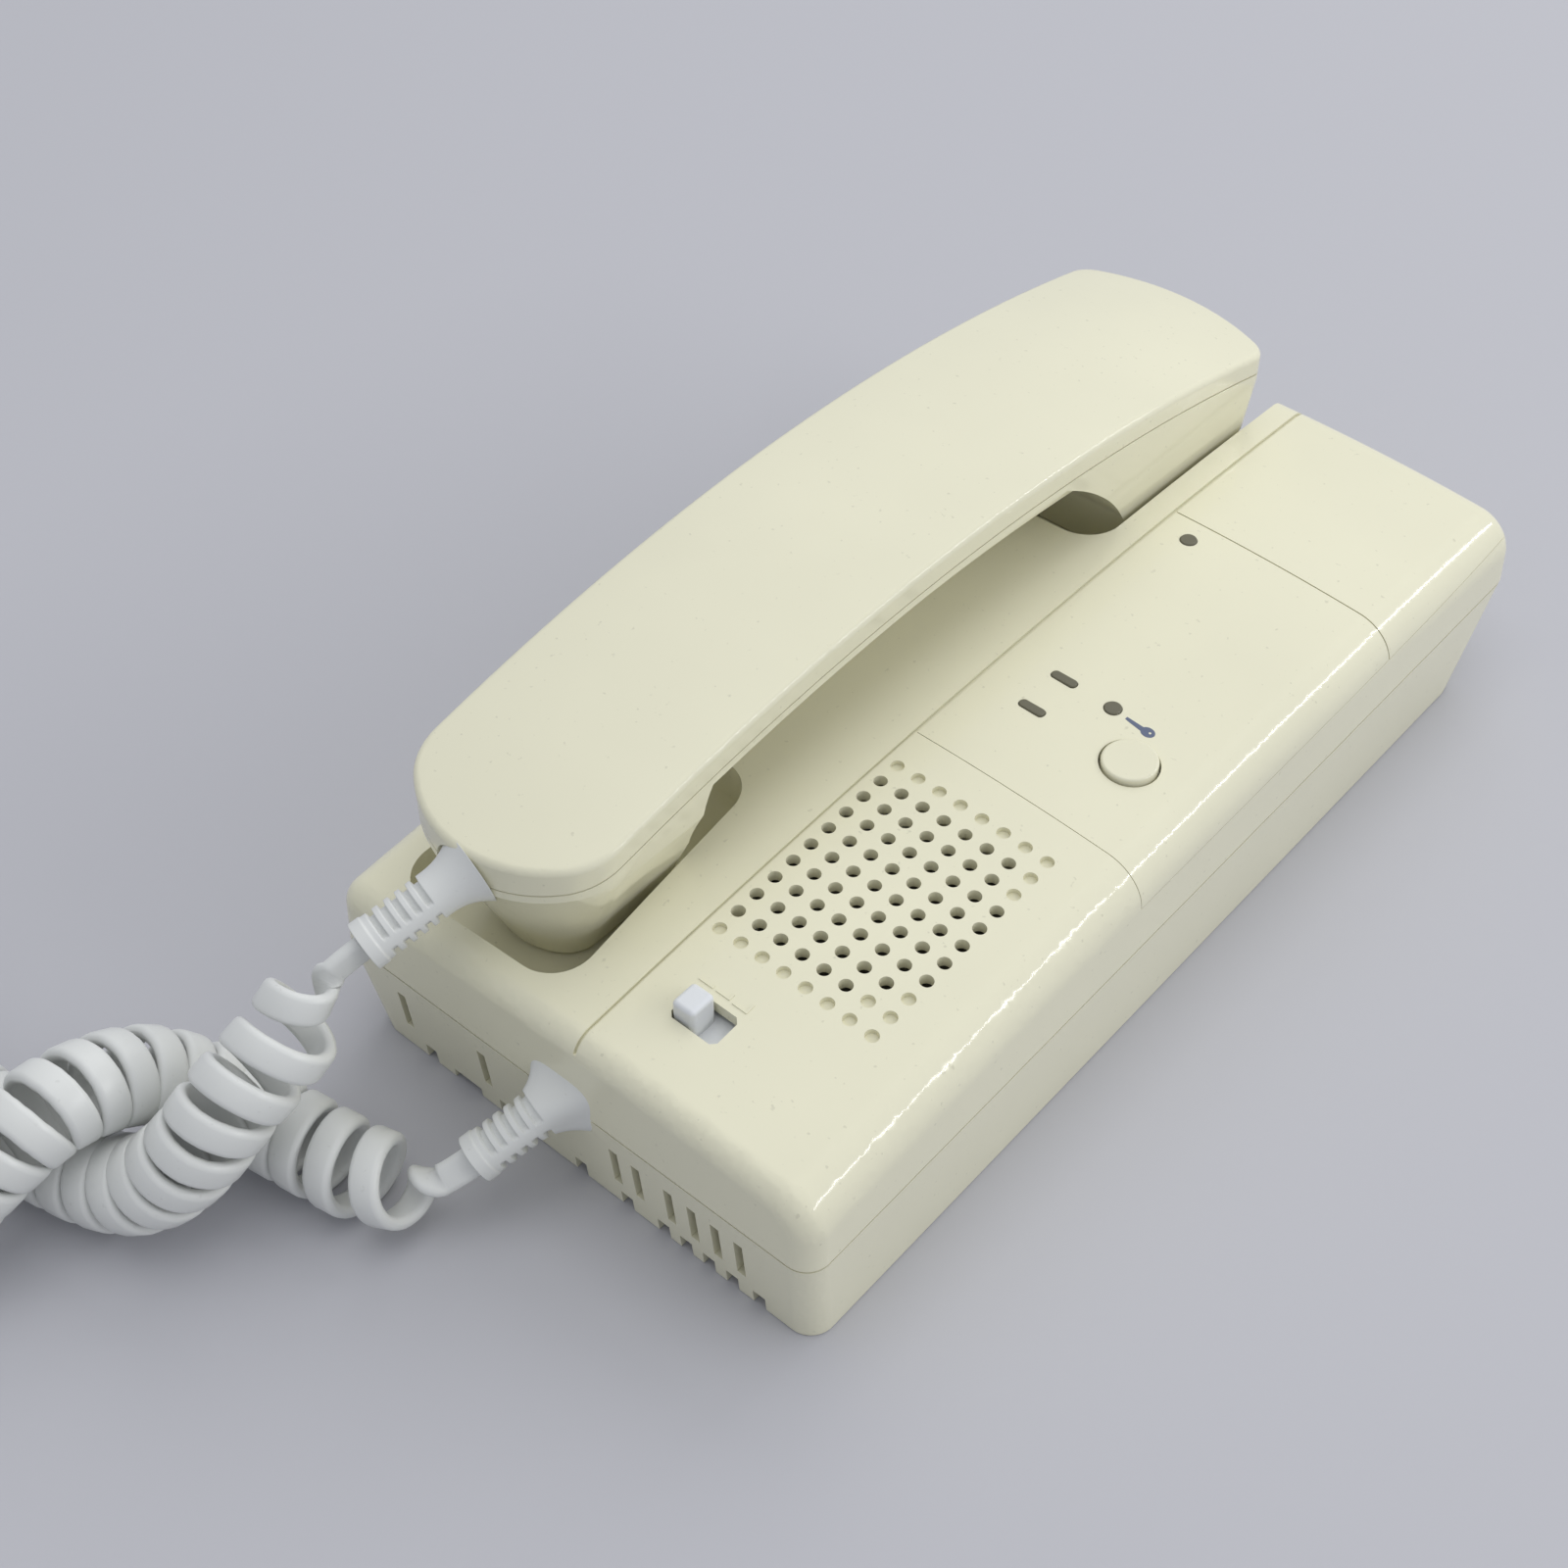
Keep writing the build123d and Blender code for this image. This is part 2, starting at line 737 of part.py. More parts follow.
# Inset panels: skins of the cover's own form that lap over its right edge and top end
with BuildPart() as control_panel:
    add(outer_form)
    add(panel_form, mode=Mode.SUBTRACT)
    add(
        slab(
            groove_x + fit_gap,
            case_width,
            panel_seam_low + fit_gap,
            panel_seam_high - panel_seam_width / 2,
            panel_edge_height + fit_gap,
            above,
        ),
        mode=Mode.INTERSECT,
    )
    with BuildSketch(Plane.XY.offset(control_board_top)):
        with Locations(*lamp_spots):
            Circle(lamp_diameter / 2 + lamp_gap)
        with Locations(button_spot):
            Circle(button_diameter / 2 + button_ring_gap)
    extrude(amount=case_height, mode=Mode.SUBTRACT)
    with BuildSketch(Plane.XY.offset(control_board_top)):
        with Locations(*window_spots):
            Rectangle(window_length + 2 * lamp_gap, window_width + 2 * lamp_gap)
    extrude(amount=case_height, mode=Mode.SUBTRACT)
    window_edges = control_panel.edges().filter_by(Axis.Z)
    window_edges = window_edges.filter_by_position(Axis.X, window_x - window_length, window_x + window_length)
    window_edges = window_edges.filter_by_position(
        Axis.Y, window_lower_y - window_width, window_upper_y + window_width
    )
    fillet(window_edges, window_rounding)
keep(control_panel.part, "control_panel")

with BuildPart() as blank_panel:
    add(outer_form)
    add(panel_form, mode=Mode.SUBTRACT)
    add(
        slab(
            groove_x + fit_gap,
            case_width,
            panel_seam_high + panel_seam_width / 2,
            case_length,
            panel_edge_height + fit_gap,
            above,
        ),
        mode=Mode.INTERSECT,
    )
keep(blank_panel.part, "blank_panel")

# Lamps and windows: clear lenses held by a flange under the panel, each over its emitter on the control board
lens_seat = control_board_top + emitter_height + component_gap


def lens(x, y, length, width):
    """A light guide with a flange under the panel and a face just proud of it."""
    top = face_height(x, y) + lamp_proud
    flange_top = face_height(x, y) - panel_thickness - lamp_drop
    with BuildPart() as guide:
        with BuildSketch(Plane.XY.offset(lens_seat)):
            with Locations((x, y)):
                RectangleRounded(length, width, window_rounding)
        extrude(amount=top - lens_seat)
        fillet(guide.faces().sort_by(Axis.Z)[-1].edges(), lamp_rounding)
        with BuildSketch(Plane.XY.offset(flange_top - lamp_flange)):
            with Locations((x, y)):
                RectangleRounded(length + 2 * lamp_flange, width + 2 * lamp_flange, window_rounding)
        extrude(amount=lamp_flange)
    return guide.part


def round_lens(x, y):
    """A round light guide with a flange under the panel and a domed face."""
    top = face_height(x, y) + lamp_proud
    flange_top = face_height(x, y) - panel_thickness - lamp_drop
    with BuildPart() as guide:
        add(posts([(x, y)], lens_seat, top, lamp_diameter))
        fillet(guide.faces().sort_by(Axis.Z)[-1].edges(), lamp_rounding)
        add(posts([(x, y)], flange_top - lamp_flange, flange_top, lamp_diameter + 2 * lamp_flange))
    return guide.part


keep(round_lens(power_lamp_x, power_lamp_y), "power_lamp")
keep(round_lens(call_lamp_x, call_lamp_y), "call_lamp")
keep(lens(window_x, window_upper_y, window_length, window_width), "station_window_upper")
keep(lens(window_x, window_lower_y, window_length, window_width), "station_window_lower")
keep(
    posts(lamp_spots + window_spots, control_board_top, control_board_top + emitter_height, emitter_diameter),
    "lamp_emitters",
)

# Release button, its spring and the switch under it
button_top = face_height(button_x, button_y) + button_proud
button_flange_top = face_height(button_x, button_y) - panel_thickness - button_drop
button_flange_low = button_flange_top - button_flange
with BuildPart() as release_button:
    add(posts([button_spot], button_flange_low, button_top, button_diameter))
    fillet(release_button.faces().sort_by(Axis.Z)[-1].edges(), button_rounding)
    add(posts([button_spot], button_flange_low, button_flange_top, button_flange_diameter))
keep(release_button.part, "release_button")
release_switch_top = button_flange_low - button_travel - running_gap
with BuildPart() as release_switch:
    with BuildSketch(Plane.XY.offset(control_board_top)):
        with Locations(button_spot):
            Rectangle(release_switch_size, release_switch_size)
    extrude(amount=release_switch_top - release_switch_pin - control_board_top)
    add(posts([button_spot], control_board_top, release_switch_top, release_switch_size / 2))
keep(release_switch.part, "release_switch")

# Rear case: a tray whose walls lean in, with a recess for the bracket in its back
def case_outline(height, inset):
    """The tray's outline at a height, as centre and size, drawn in by an inset."""
    share = height / case_rim
    left = base_left + (half_width - base_left) * share - inset
    right = base_right + (half_width - base_right) * share - inset
    low = base_bottom + (half_length - base_bottom) * share - inset
    high = base_top + (half_length - base_top) * share - inset
    return (right - left) / 2, (high - low) / 2, left + right, low + high


def case_form(low, high, inset):
    """The tray's solid form between two heights."""
    with BuildPart() as form:
        for height in (low, high):
            centre_x, centre_y, size_x, size_y = case_outline(height, inset)
            with BuildSketch(Plane.XY.offset(height)):
                with Locations((centre_x, centre_y)):
                    Rectangle(size_x, size_y)
        loft(ruled=True)
        uprights = form.edges().filter_by(lambda edge: abs((edge @ 0).Z - (edge @ 1).Z) > wall)
        fillet(uprights, end_rounding - inset)
    return form.part


notch_reach = half_length - base_bottom + wall + overrun
with BuildPart() as rear_case:
    add(case_form(0, case_rim, 0))
    add(case_form(back_inside, case_rim, wall), mode=Mode.SUBTRACT)
    add(case_form(0, bracket_recess, wall), mode=Mode.SUBTRACT)
    add(posts(case_spots, bracket_recess, cover_base, boss_diameter))
    add(posts(board_spots, bracket_recess, board_height, boss_diameter))
    with BuildSketch(Plane.XZ.offset(half_length + overrun)):
        with Locations(*[(x, (vent_low + vent_high) / 2) for x in vent_places]):
            Rectangle(vent_width, vent_high - vent_low)
        with Locations(*[(x, notch_height / 2) for x in notch_places]):
            Rectangle(notch_width, notch_height)
        with Locations(((wide_notch_left + wide_notch_right) / 2, wide_notch_height / 2)):
            Rectangle(wide_notch_right - wide_notch_left, wide_notch_height)
    extrude(amount=-notch_reach - overrun, mode=Mode.SUBTRACT)
    with BuildSketch(Plane.XY.offset(bracket_recess)):
        with Locations((0, bracket_y)):
            Circle(cable_hole / 2)
        with Locations(*hook_spots):
            Rectangle(hook_tab_width + 2 * bracket_clearance, hook_slot_length)
    extrude(amount=back_thickness, mode=Mode.SUBTRACT)
    add(posts(case_spots, 0, case_screw_seat, screw_head + 2 * screw_clearance), mode=Mode.SUBTRACT)
    add(posts(case_spots, 0, case_height, screw_diameter + 2 * screw_clearance), mode=Mode.SUBTRACT)
    add(posts(board_spots, bracket_recess, board_height, pilot), mode=Mode.SUBTRACT)
    add(relief_way(case_relief_root, case_relief_end, case_relief_inward), mode=Mode.SUBTRACT)
keep(rear_case.part, "rear_case")

# Wall bracket: a pressed steel channel whose tabs reach through the back of the case
with BuildPart() as wall_bracket:
    with BuildSketch():
        with Locations((0, bracket_y)):
            RectangleRounded(bracket_width, bracket_length, bracket_corner)
    extrude(amount=bracket_thickness)
    for side in (-1, 1):
        with BuildSketch():
            with Locations((side * (bracket_width - bracket_thickness) / 2, bracket_y)):
                Rectangle(bracket_thickness, bracket_length - 2 * bracket_corner)
        extrude(amount=bracket_recess)
    with BuildSketch():
        with Locations(*hook_spots):
            Rectangle(hook_tab_width, bracket_thickness)
    extrude(amount=hook_tab_height + bracket_recess)
    with BuildSketch():
        with Locations((0, bracket_y)):
            Circle(cable_hole / 2)
        with Locations((0, bracket_y - box_screw_spacing / 2), (0, bracket_y + box_screw_spacing / 2)):
            Circle(box_screw_hole / 2)
    extrude(amount=bracket_thickness, mode=Mode.SUBTRACT)
keep(wall_bracket.part, "wall_bracket")

# Screws that close the case, up from the back
keep(screws(case_spots, case_screw_seat, case_screw_length), "case_screws")

# Main board on its bosses, with a hole for the wires from the wall
with BuildPart() as main_board:
    add(slab(board_left, board_right, board_low, board_high, board_height, board_top))
    add(posts([(0, bracket_y)], board_height, board_top, cable_hole), mode=Mode.SUBTRACT)
    add(posts(board_spots, board_height, board_top, screw_diameter + 2 * screw_clearance), mode=Mode.SUBTRACT)
keep(main_board.part, "main_board")
keep(screws(board_spots, board_top, board_height - back_inside, -1), "board_screws")


def on_board(x, y, size):
    """A box-shaped part that sits on the main board."""
    length, width, height = size
    return slab(x - length / 2, x + length / 2, y - width / 2, y + width / 2, board_top, board_top + height)


# Terminal block for the wires from the wall, with a clamp screw for each
terminal_pitch = terminal_length / terminal_ways
terminal_start = terminal_x - (terminal_ways - 1) / 2 * terminal_pitch
terminal_spots = [(terminal_start + way * terminal_pitch, terminal_y) for way in range(terminal_ways)]
terminal_top = board_top + terminal_height
with BuildPart() as terminal_block:
    add(on_board(terminal_x, terminal_y, (terminal_length, terminal_width, terminal_height)))
    add(posts(terminal_spots, terminal_top - terminal_screw, terminal_top, terminal_well), mode=Mode.SUBTRACT)
    with BuildSketch(Plane.XZ.offset(-terminal_y + terminal_width / 2)):
        with Locations(*[(x, board_top + terminal_mouth) for x, _ in terminal_spots]):
            Rectangle(terminal_mouth, terminal_mouth)
    extrude(amount=-terminal_width / 2, mode=Mode.SUBTRACT)
keep(terminal_block.part, "terminal_block")
with BuildPart() as terminal_screws:
    add(posts(terminal_spots, terminal_top - terminal_screw, terminal_top - screw_cross, terminal_screw))
    with BuildSketch(Plane.XY.offset(terminal_top - screw_cross)):
        with Locations(*terminal_spots):
            Rectangle(terminal_screw, screw_cross)
    extrude(amount=-screw_cross, mode=Mode.SUBTRACT)
keep(terminal_screws.part, "terminal_screws")

# Line transformer: laminated core round a wound bobbin
core_length, core_width, core_height = transformer_size
window = (core_length - transformer_coil) / 2
with BuildPart() as transformer_core:
    add(on_board(transformer_x, transformer_y, transformer_size))
    for side in (-1, 1):
        with BuildSketch(Plane.XY.offset(board_top + core_height)):
            with Locations((transformer_x + side * transformer_coil / 2, transformer_y)):
                Rectangle(window, core_width - window)
        extrude(amount=-core_height, mode=Mode.SUBTRACT)
keep(transformer_core.part, "transformer_core")
with BuildPart() as transformer_coil_part:
    with BuildSketch(Plane.XY.offset(board_top)):
        with Locations((transformer_x, transformer_y)):
            Rectangle(transformer_coil + window - component_gap, core_width - window - 2 * component_gap)
    extrude(amount=core_height + coil_wall)
    with BuildSketch(Plane.XY.offset(board_top)):
        with Locations((transformer_x, transformer_y)):
            Rectangle(transformer_coil - window + 2 * component_gap, core_width)
    extrude(amount=core_height, mode=Mode.SUBTRACT)
keep(transformer_coil_part.part, "transformer_coil")
keep(on_board(relay_x, relay_y, relay_size), "door_relay")
keep(
    posts(capacitor_spots, board_top, board_top + capacitor_height, capacitor_diameter),
    "filter_capacitors",
)

# Socket that the curly cord's inner end plugs into
with BuildPart() as cord_connector:
    add(on_board(connector_x, connector_y, connector_size))
    with BuildSketch(Plane.XY.offset(board_top + connector_size[2])):
        with Locations((connector_x, connector_y)):
            Rectangle(connector_size[0] - 2 * connector_wall, connector_size[1] - 2 * connector_wall)
    extrude(amount=connector_wall - connector_size[2], mode=Mode.SUBTRACT)
keep(cord_connector.part, "cord_connector")


def biarc(start, start_way, end, end_way):
    """Two tangent arcs between two points with given directions: the point and direction where they meet."""
    chord = end - start
    ways = start_way + end_way
    spread = 2 * (1 - start_way.dot(end_way))
    reach = (sqrt(chord.dot(ways) ** 2 + spread * chord.dot(chord)) - chord.dot(ways)) / spread
    meeting = (start + end + (start_way - end_way) * reach) * (1 / 2)
    return meeting, (end - end_way * reach - start - start_way * reach).normalized()


def wound_tube(stations, diameter, label):
    """A round tube swept along biarcs through points with directions; prints its least gap to itself."""
    centres = []
    travelled = 0
    with BuildPart() as tube:
        with BuildLine() as path:
            for (start, start_way), (end, end_way) in zip(stations, stations[1:]):
                if start_way.dot(end_way) > straight_cosine:
                    Line(start, end)
                else:
                    meeting, way = biarc(start, start_way, end, end_way)
                    first = TangentArc(start, meeting, tangent=start_way)
                    second = TangentArc(meeting, end, tangent=way)
                    for arc in (first, second):
                        centres += [(arc @ share, travelled + arc.length * share) for share in arc_shares]
                        travelled += arc.length
        with BuildSketch(Plane(origin=stations[0][0], z_dir=stations[0][1])):
            Circle(diameter / 2)
        sweep(path=path.wires()[0])
    gaps = [
        (centre - other).length - diameter
        for index, (centre, start) in enumerate(centres)
        for other, end in centres[index:]
        if end - start > self_reach * diameter
    ]
    print(label, "least gap to itself", round(min(gaps), 2), "length", round(path.wires()[0].length))
    return tube.part


def spring_stations(x, y, low, high, diameter, turns):
    """Half-turn stations of an upright coil spring with closed-up height between two seats."""
    radius = (diameter - spring_wire) / 2
    rise = (high - low - spring_wire) / turns
    stations = []
    for half in range(2 * turns + 1):
        turn = pi * half
        place = Vector(
            x + radius * cos(turn), y + radius * sin(turn), low + spring_wire / 2 + rise * half / 2
        )
        way = Vector(-radius * sin(turn), radius * cos(turn), rise / (2 * pi)).normalized()
        stations.append((place, way))
    return stations


keep(
    wound_tube(
        spring_stations(
            *button_spot, control_board_top, button_flange_low, button_spring_diameter, button_spring_turns
        ),
        spring_wire,
        "button spring",
    ),
    "button_spring",
)

# Hook switch on the main board, the plunger that works it and the spring that lifts the plunger
switch_top = board_top + switch_height
plunger_top = recess_floor - plunger_sunk
flange_top = pocket_underside - plunger_travel - running_gap
flange_low = flange_top - plunger_flange_thickness
with BuildPart() as hook_switch:
    add(on_board(handset_x, plunger_y, (switch_length, switch_width, switch_height)))
    add(posts([plunger_spot], switch_top, switch_top + switch_pin_height, switch_pin_diameter))
keep(hook_switch.part, "hook_switch")
with BuildPart() as hook_plunger:
    add(posts([plunger_spot], switch_top + switch_pin_height + running_gap, plunger_top, plunger_diameter))
    fillet(hook_plunger.faces().sort_by(Axis.Z)[-1].edges(), plunger_rounding)
    add(posts([plunger_spot], flange_low, flange_top, plunger_flange))
keep(hook_plunger.part, "hook_plunger")
keep(
    wound_tube(
        spring_stations(*plunger_spot, switch_top, flange_low, hook_spring_diameter, spring_turns),
        spring_wire,
        "hook spring",
    ),
    "hook_spring",
)

# Speaker: pressed frame, paper cone, magnet with its plates, and the clamps and screws that hold it
with BuildPart() as speaker_frame:
    with BuildSketch(Plane.XZ.offset(-speaker_y)):
        with BuildLine():
            Polyline(
                (speaker_x, basket_low),
                (speaker_x + speaker_magnet_diameter / 2, basket_low),
                (speaker_x + basket_waist, clamp_seat),
                (speaker_x + speaker_diameter / 2, clamp_seat),
                (speaker_x + speaker_diameter / 2, speaker_seat),
                (speaker_x + basket_waist - speaker_frame_thickness, speaker_seat),
                (speaker_x + speaker_magnet_diameter / 2, basket_low + speaker_frame_thickness),
                (speaker_x, basket_low + speaker_frame_thickness),
                close=True,
            )
        make_face()
    revolve(axis=Axis((speaker_x, speaker_y, 0), (0, 0, 1)))
keep(speaker_frame.part, "speaker_frame")
with BuildPart() as speaker_cone:
    with BuildSketch(Plane.XZ.offset(-speaker_y)):
        with BuildLine():
            Polyline(
                (speaker_x, cone_low),
                (speaker_x + speaker_throat_diameter / 2, cone_low),
                (speaker_x + cone_edge, speaker_seat - speaker_cone_thickness),
                (speaker_x + cone_edge, speaker_seat),
                (speaker_x + speaker_throat_diameter / 2, cone_low + speaker_cone_thickness),
                (speaker_x, cone_low + speaker_cone_thickness),
                close=True,
            )
        make_face()
    revolve(axis=Axis((speaker_x, speaker_y, 0), (0, 0, 1)))
keep(speaker_cone.part, "speaker_cone")
keep(
    posts([(speaker_x, speaker_y)], basket_low - speaker_magnet_height, basket_low, speaker_magnet_diameter),
    "speaker_magnet",
)
with BuildPart() as speaker_clamps:
    with BuildSketch(Plane.XY.offset(clamp_seat)):
        for x, y in clamp_spots:
            turned = clamp_turn if (x > speaker_x) == (y > speaker_y) else -clamp_turn
            with Locations(Location((x, y), turned)):
                Rectangle(clamp_length, clamp_width)
    extrude(amount=-clamp_thickness)
    add(
        posts(clamp_spots, clamp_seat - clamp_thickness, clamp_seat, screw_diameter + 2 * screw_clearance),
        mode=Mode.SUBTRACT,
    )
keep(speaker_clamps.part, "speaker_clamps")
keep(screws(clamp_spots, clamp_seat - clamp_thickness, small_screw_length), "speaker_screws")

# Control board under the inset panels
control_board_low_face = control_board_top - control_board_thickness
with BuildPart() as control_board:
    add(
        slab(
            control_board_left,
            control_board_right,
            control_board_low,
            control_board_high,
            control_board_low_face,
            control_board_top,
        )
    )
    add(
        posts(control_spots, control_board_low_face, control_board_top, screw_diameter + 2 * screw_clearance),
        mode=Mode.SUBTRACT,
    )
keep(control_board.part, "control_board")
keep(screws(control_spots, control_board_low_face, panel_screw_length), "control_board_screws")

# Volume control: slide resistor on its own small board, and the knob that runs under the cover
volume_board_low = volume_board_top - control_board_thickness
volume_reach = volume_boss_reach + control_boss_diameter / 2
volume_half_width = slider_body_width / 2 + slider_margin
with BuildPart() as volume_board:
    add(
        slab(
            slot_x - volume_reach,
            slot_x + volume_reach,
            slot_y - volume_half_width,
            slot_y + volume_half_width,
            volume_board_low,
            volume_board_top,
        )
    )
    add(
        posts(volume_spots, volume_board_low, volume_board_top, screw_diameter + 2 * screw_clearance),
        mode=Mode.SUBTRACT,
    )
keep(volume_board.part, "volume_board")
keep(screws(volume_spots, volume_board_low, small_screw_length), "volume_board_screws")
knob_start = slot_left + running_gap
knob_travel = slot_right - running_gap - knob_start - knob_length
knob_x = knob_start + knob_length / 2
plate_reach = knob_length / 2 + knob_travel + slider_plate_margin
plate_top = face_height(knob_x + plate_reach, slot_low - slider_plate_margin) - wall - running_gap
plate_low = plate_top - slider_plate_thickness
slider_top = volume_board_top + slider_body_height
with BuildPart() as volume_control:
    add(
        slab(
            slot_x - slider_body_length / 2,
            slot_x + slider_body_length / 2,
            slot_y - slider_body_width / 2,
            slot_y + slider_body_width / 2,
            volume_board_top,
            slider_top,
        )
    )
    add(
        slab(
            slot_x - slider_track / 2,
            slot_x + slider_track / 2,
            slot_y - slider_lever / 2 - running_gap,
            slot_y + slider_lever / 2 + running_gap,
            slider_top - slider_lever_depth,
            slider_top,
        ),
        mode=Mode.SUBTRACT,
    )
keep(volume_control.part, "volume_control")
with BuildPart() as volume_knob:
    add(
        slab(
            knob_start,
            knob_start + knob_length,
            slot_low + knob_side_gap,
            slot_high - knob_side_gap,
            plate_low,
            face_height(knob_x, slot_y) + knob_proud,
        )
    )
    fillet(volume_knob.edges().filter_by(Axis.Z), knob_rounding)
    fillet(volume_knob.faces().sort_by(Axis.Z)[-1].edges(), knob_rounding)
    add(
        slab(
            knob_x - plate_reach,
            knob_x + plate_reach,
            slot_low - slider_plate_margin,
            slot_high + slider_plate_margin,
            plate_low,
            plate_top,
        )
    )
    add(
        slab(
            knob_x - slider_lever,
            knob_x + slider_lever,
            slot_y - slider_lever / 2,
            slot_y + slider_lever / 2,
            slider_top - slider_lever_depth + running_gap,
            plate_low,
        )
    )
keep(volume_knob.part, "volume_knob")
print("volume knob travel", round(knob_travel, 2))


# Handset: an arched bar of two shells with a cup at each end
def bowed_corner(half, corner_y, end_y, inset):
    """Where a bowed end of the handset meets its side when both are drawn in evenly."""
    bow = end_y - corner_y
    radius = (half**2 + bow**2) / (2 * bow)
    way = bow / abs(bow)
    return end_y - radius + way * sqrt((abs(radius) - inset) ** 2 - (half - inset) ** 2)


def handset_plan(inset):
    """The handset's outline from above, drawn in evenly: bowed ends and sides that widen to the ear end."""
    mouth_y = bowed_corner(mouth_half_width, mouth_corner_y, mouth_end_y, inset)
    ear_y = bowed_corner(ear_half_width, ear_corner_y, ear_end_y, inset)
    with BuildSketch() as plan:
        with BuildLine():
            mouth = ThreePointArc(
                (handset_x - mouth_half_width + inset, mouth_y),
                (handset_x, mouth_end_y + inset),
                (handset_x + mouth_half_width - inset, mouth_y),
            )
            ear = ThreePointArc(
                (handset_x + ear_half_width - inset, ear_y),
                (handset_x, ear_end_y - inset),
                (handset_x - ear_half_width + inset, ear_y),
            )
            Line(mouth @ 1, ear @ 0)
            Line(ear @ 1, mouth @ 0)
        make_face()
        fillet(plan.vertices().sort_by(Axis.Y)[:2], mouth_corner**2 / (mouth_corner + inset))
        fillet(plan.vertices().sort_by(Axis.Y)[-2:], ear_corner**2 / (ear_corner + inset))
    return plan.sketch


def arched_bar(low, high, inset, crown=0):
    """A bar with the handset's outline between two arches, given as heights over the parting line."""
    half_turn = asin(case_length / arch_radius)
    reach = ear_half_width + overrun
    low_radius = arch_radius + low
    high_radius = arch_radius + high
    pivot = arch_crest_z - arch_radius
    with BuildPart() as bar:
        with BuildSketch():
            add(handset_plan(inset))
        extrude(amount=above)
        with BuildSketch(arch_plane(handset_x, arch_crest_y, pivot, half_turn)):
            with BuildLine():
                side_radius = high_radius - crown
                if crown:
                    ThreePointArc((-reach, side_radius), (0, high_radius + crown), (reach, side_radius))
                else:
                    Line((-reach, side_radius), (reach, side_radius))
                Polyline((reach, side_radius), (reach, low_radius), (-reach, low_radius))
                Line((-reach, low_radius), (-reach, side_radius))
            make_face()
        revolve(
            axis=Axis((handset_x, arch_crest_y, pivot), (-1, 0, 0)),
            revolution_arc=degrees(2 * half_turn),
            mode=Mode.INTERSECT,
        )
    return bar.part


def cup_form(slope_high, slope_low, foot_start, far, foot, inset, grown):
    """A handset cup that narrows to its foot, cut to its slope from the side: grown below zero is its hollow."""
    bow = slope_bow if far > foot_start else -slope_bow
    slope_middle = ((slope_high[0] + slope_low[0]) / 2 + bow, (slope_high[1] + slope_low[1]) / 2 + slope_bow)
    cup_top = parting_height(far)
    with BuildPart() as cup:
        for height, drawn_in in ((foot, inset), (cup_top, 0)):
            with BuildSketch(Plane.XY.offset(height)):
                add(handset_plan(drawn_in - grown))
        loft(ruled=True)
        fillet(cup.faces().sort_by(Axis.Z)[0].edges(), cup_foot_rounding + min(grown, 0) / 2)
        with BuildSketch(Plane.XY.offset(cup_top)):
            add(handset_plan(-grown))
        extrude(amount=above)
        with BuildSketch(Plane.YZ.offset(handset_x)):
            with BuildLine():
                slope = ThreePointArc(slope_high, slope_middle, slope_low)
                Polyline(slope @ 1, (foot_start, foot), (2 * far, foot), (2 * far, above))
                Polyline((2 * far, above), (slope_high[0], above), slope @ 0)
            make_face()
        extrude(amount=case_width, both=True, mode=Mode.INTERSECT)
    return cup.part


seam_half = handset_seam / 2
belly_floor = handset_wall - belly_depth


def cup_outlines(grown):
    """Both cups, or with a negative growth their hollows, each trimmed to the parting arch."""
    with BuildPart() as cups:
        add(
            cup_form(
                (ear_slope_y - grown, parting_height(ear_slope_y)),
                (ear_cup_start - grown, ear_slope_low),
                ear_cup_start + ear_foot_step - grown,
                ear_end_y,
                ear_cup_foot - grown,
                ear_cup_inset,
                grown,
            )
        )
        add(
            cup_form(
                (mouth_slope_y + grown, parting_height(mouth_slope_y)),
                (mouth_cup_start + grown, mouth_slope_low),
                mouth_cup_start - ear_foot_step + grown,
                mouth_end_y,
                mouth_cup_foot - grown,
                mouth_cup_inset,
                grown,
            )
        )
        add(arched_bar(-above / 2, -seam_half, 0), mode=Mode.INTERSECT)
    return cups.part


# Two screws hold the handset's shells together: up through a pad of the inner shell into the outer one
def shell_posts(start, end, diameter):
    """Posts at the handset's two screws between heights that are given over the parting line."""
    with BuildPart() as pair:
        for y in handset_screw_ys:
            add(posts([(handset_x, y)], parting_height(y) + start, parting_height(y) + end, diameter))
    return pair.part


handset_screw_seat = screw_head_height + screw_sunk - belly_depth
pad_top = handset_screw_seat + pad_thickness
outer_underside = outer_shell_height - handset_wall
counterbore = screw_head + 2 * screw_clearance
with BuildPart() as handset_outer_shell:
    add(arched_bar(seam_half, outer_shell_height, 0, handset_crown))
    fillet(handset_outer_shell.faces().sort_by(Axis.Z)[-1].edges(), shell_edge)
    add(arched_bar(-overrun, outer_underside, handset_wall, handset_crown), mode=Mode.SUBTRACT)
    add(shell_posts(pad_top + fit_gap, outer_underside + handset_wall / 2, boss_diameter))
    add(shell_posts(pad_top, handset_screw_seat + handset_screw_length, pilot), mode=Mode.SUBTRACT)
    add(relief_way(handset_relief_root, handset_relief_end, handset_relief_inward), mode=Mode.SUBTRACT)
keep(handset_outer_shell.part, "handset_outer_shell")
receiver_spot = (handset_x, receiver_y)
microphone_spot = (handset_x, microphone_y)
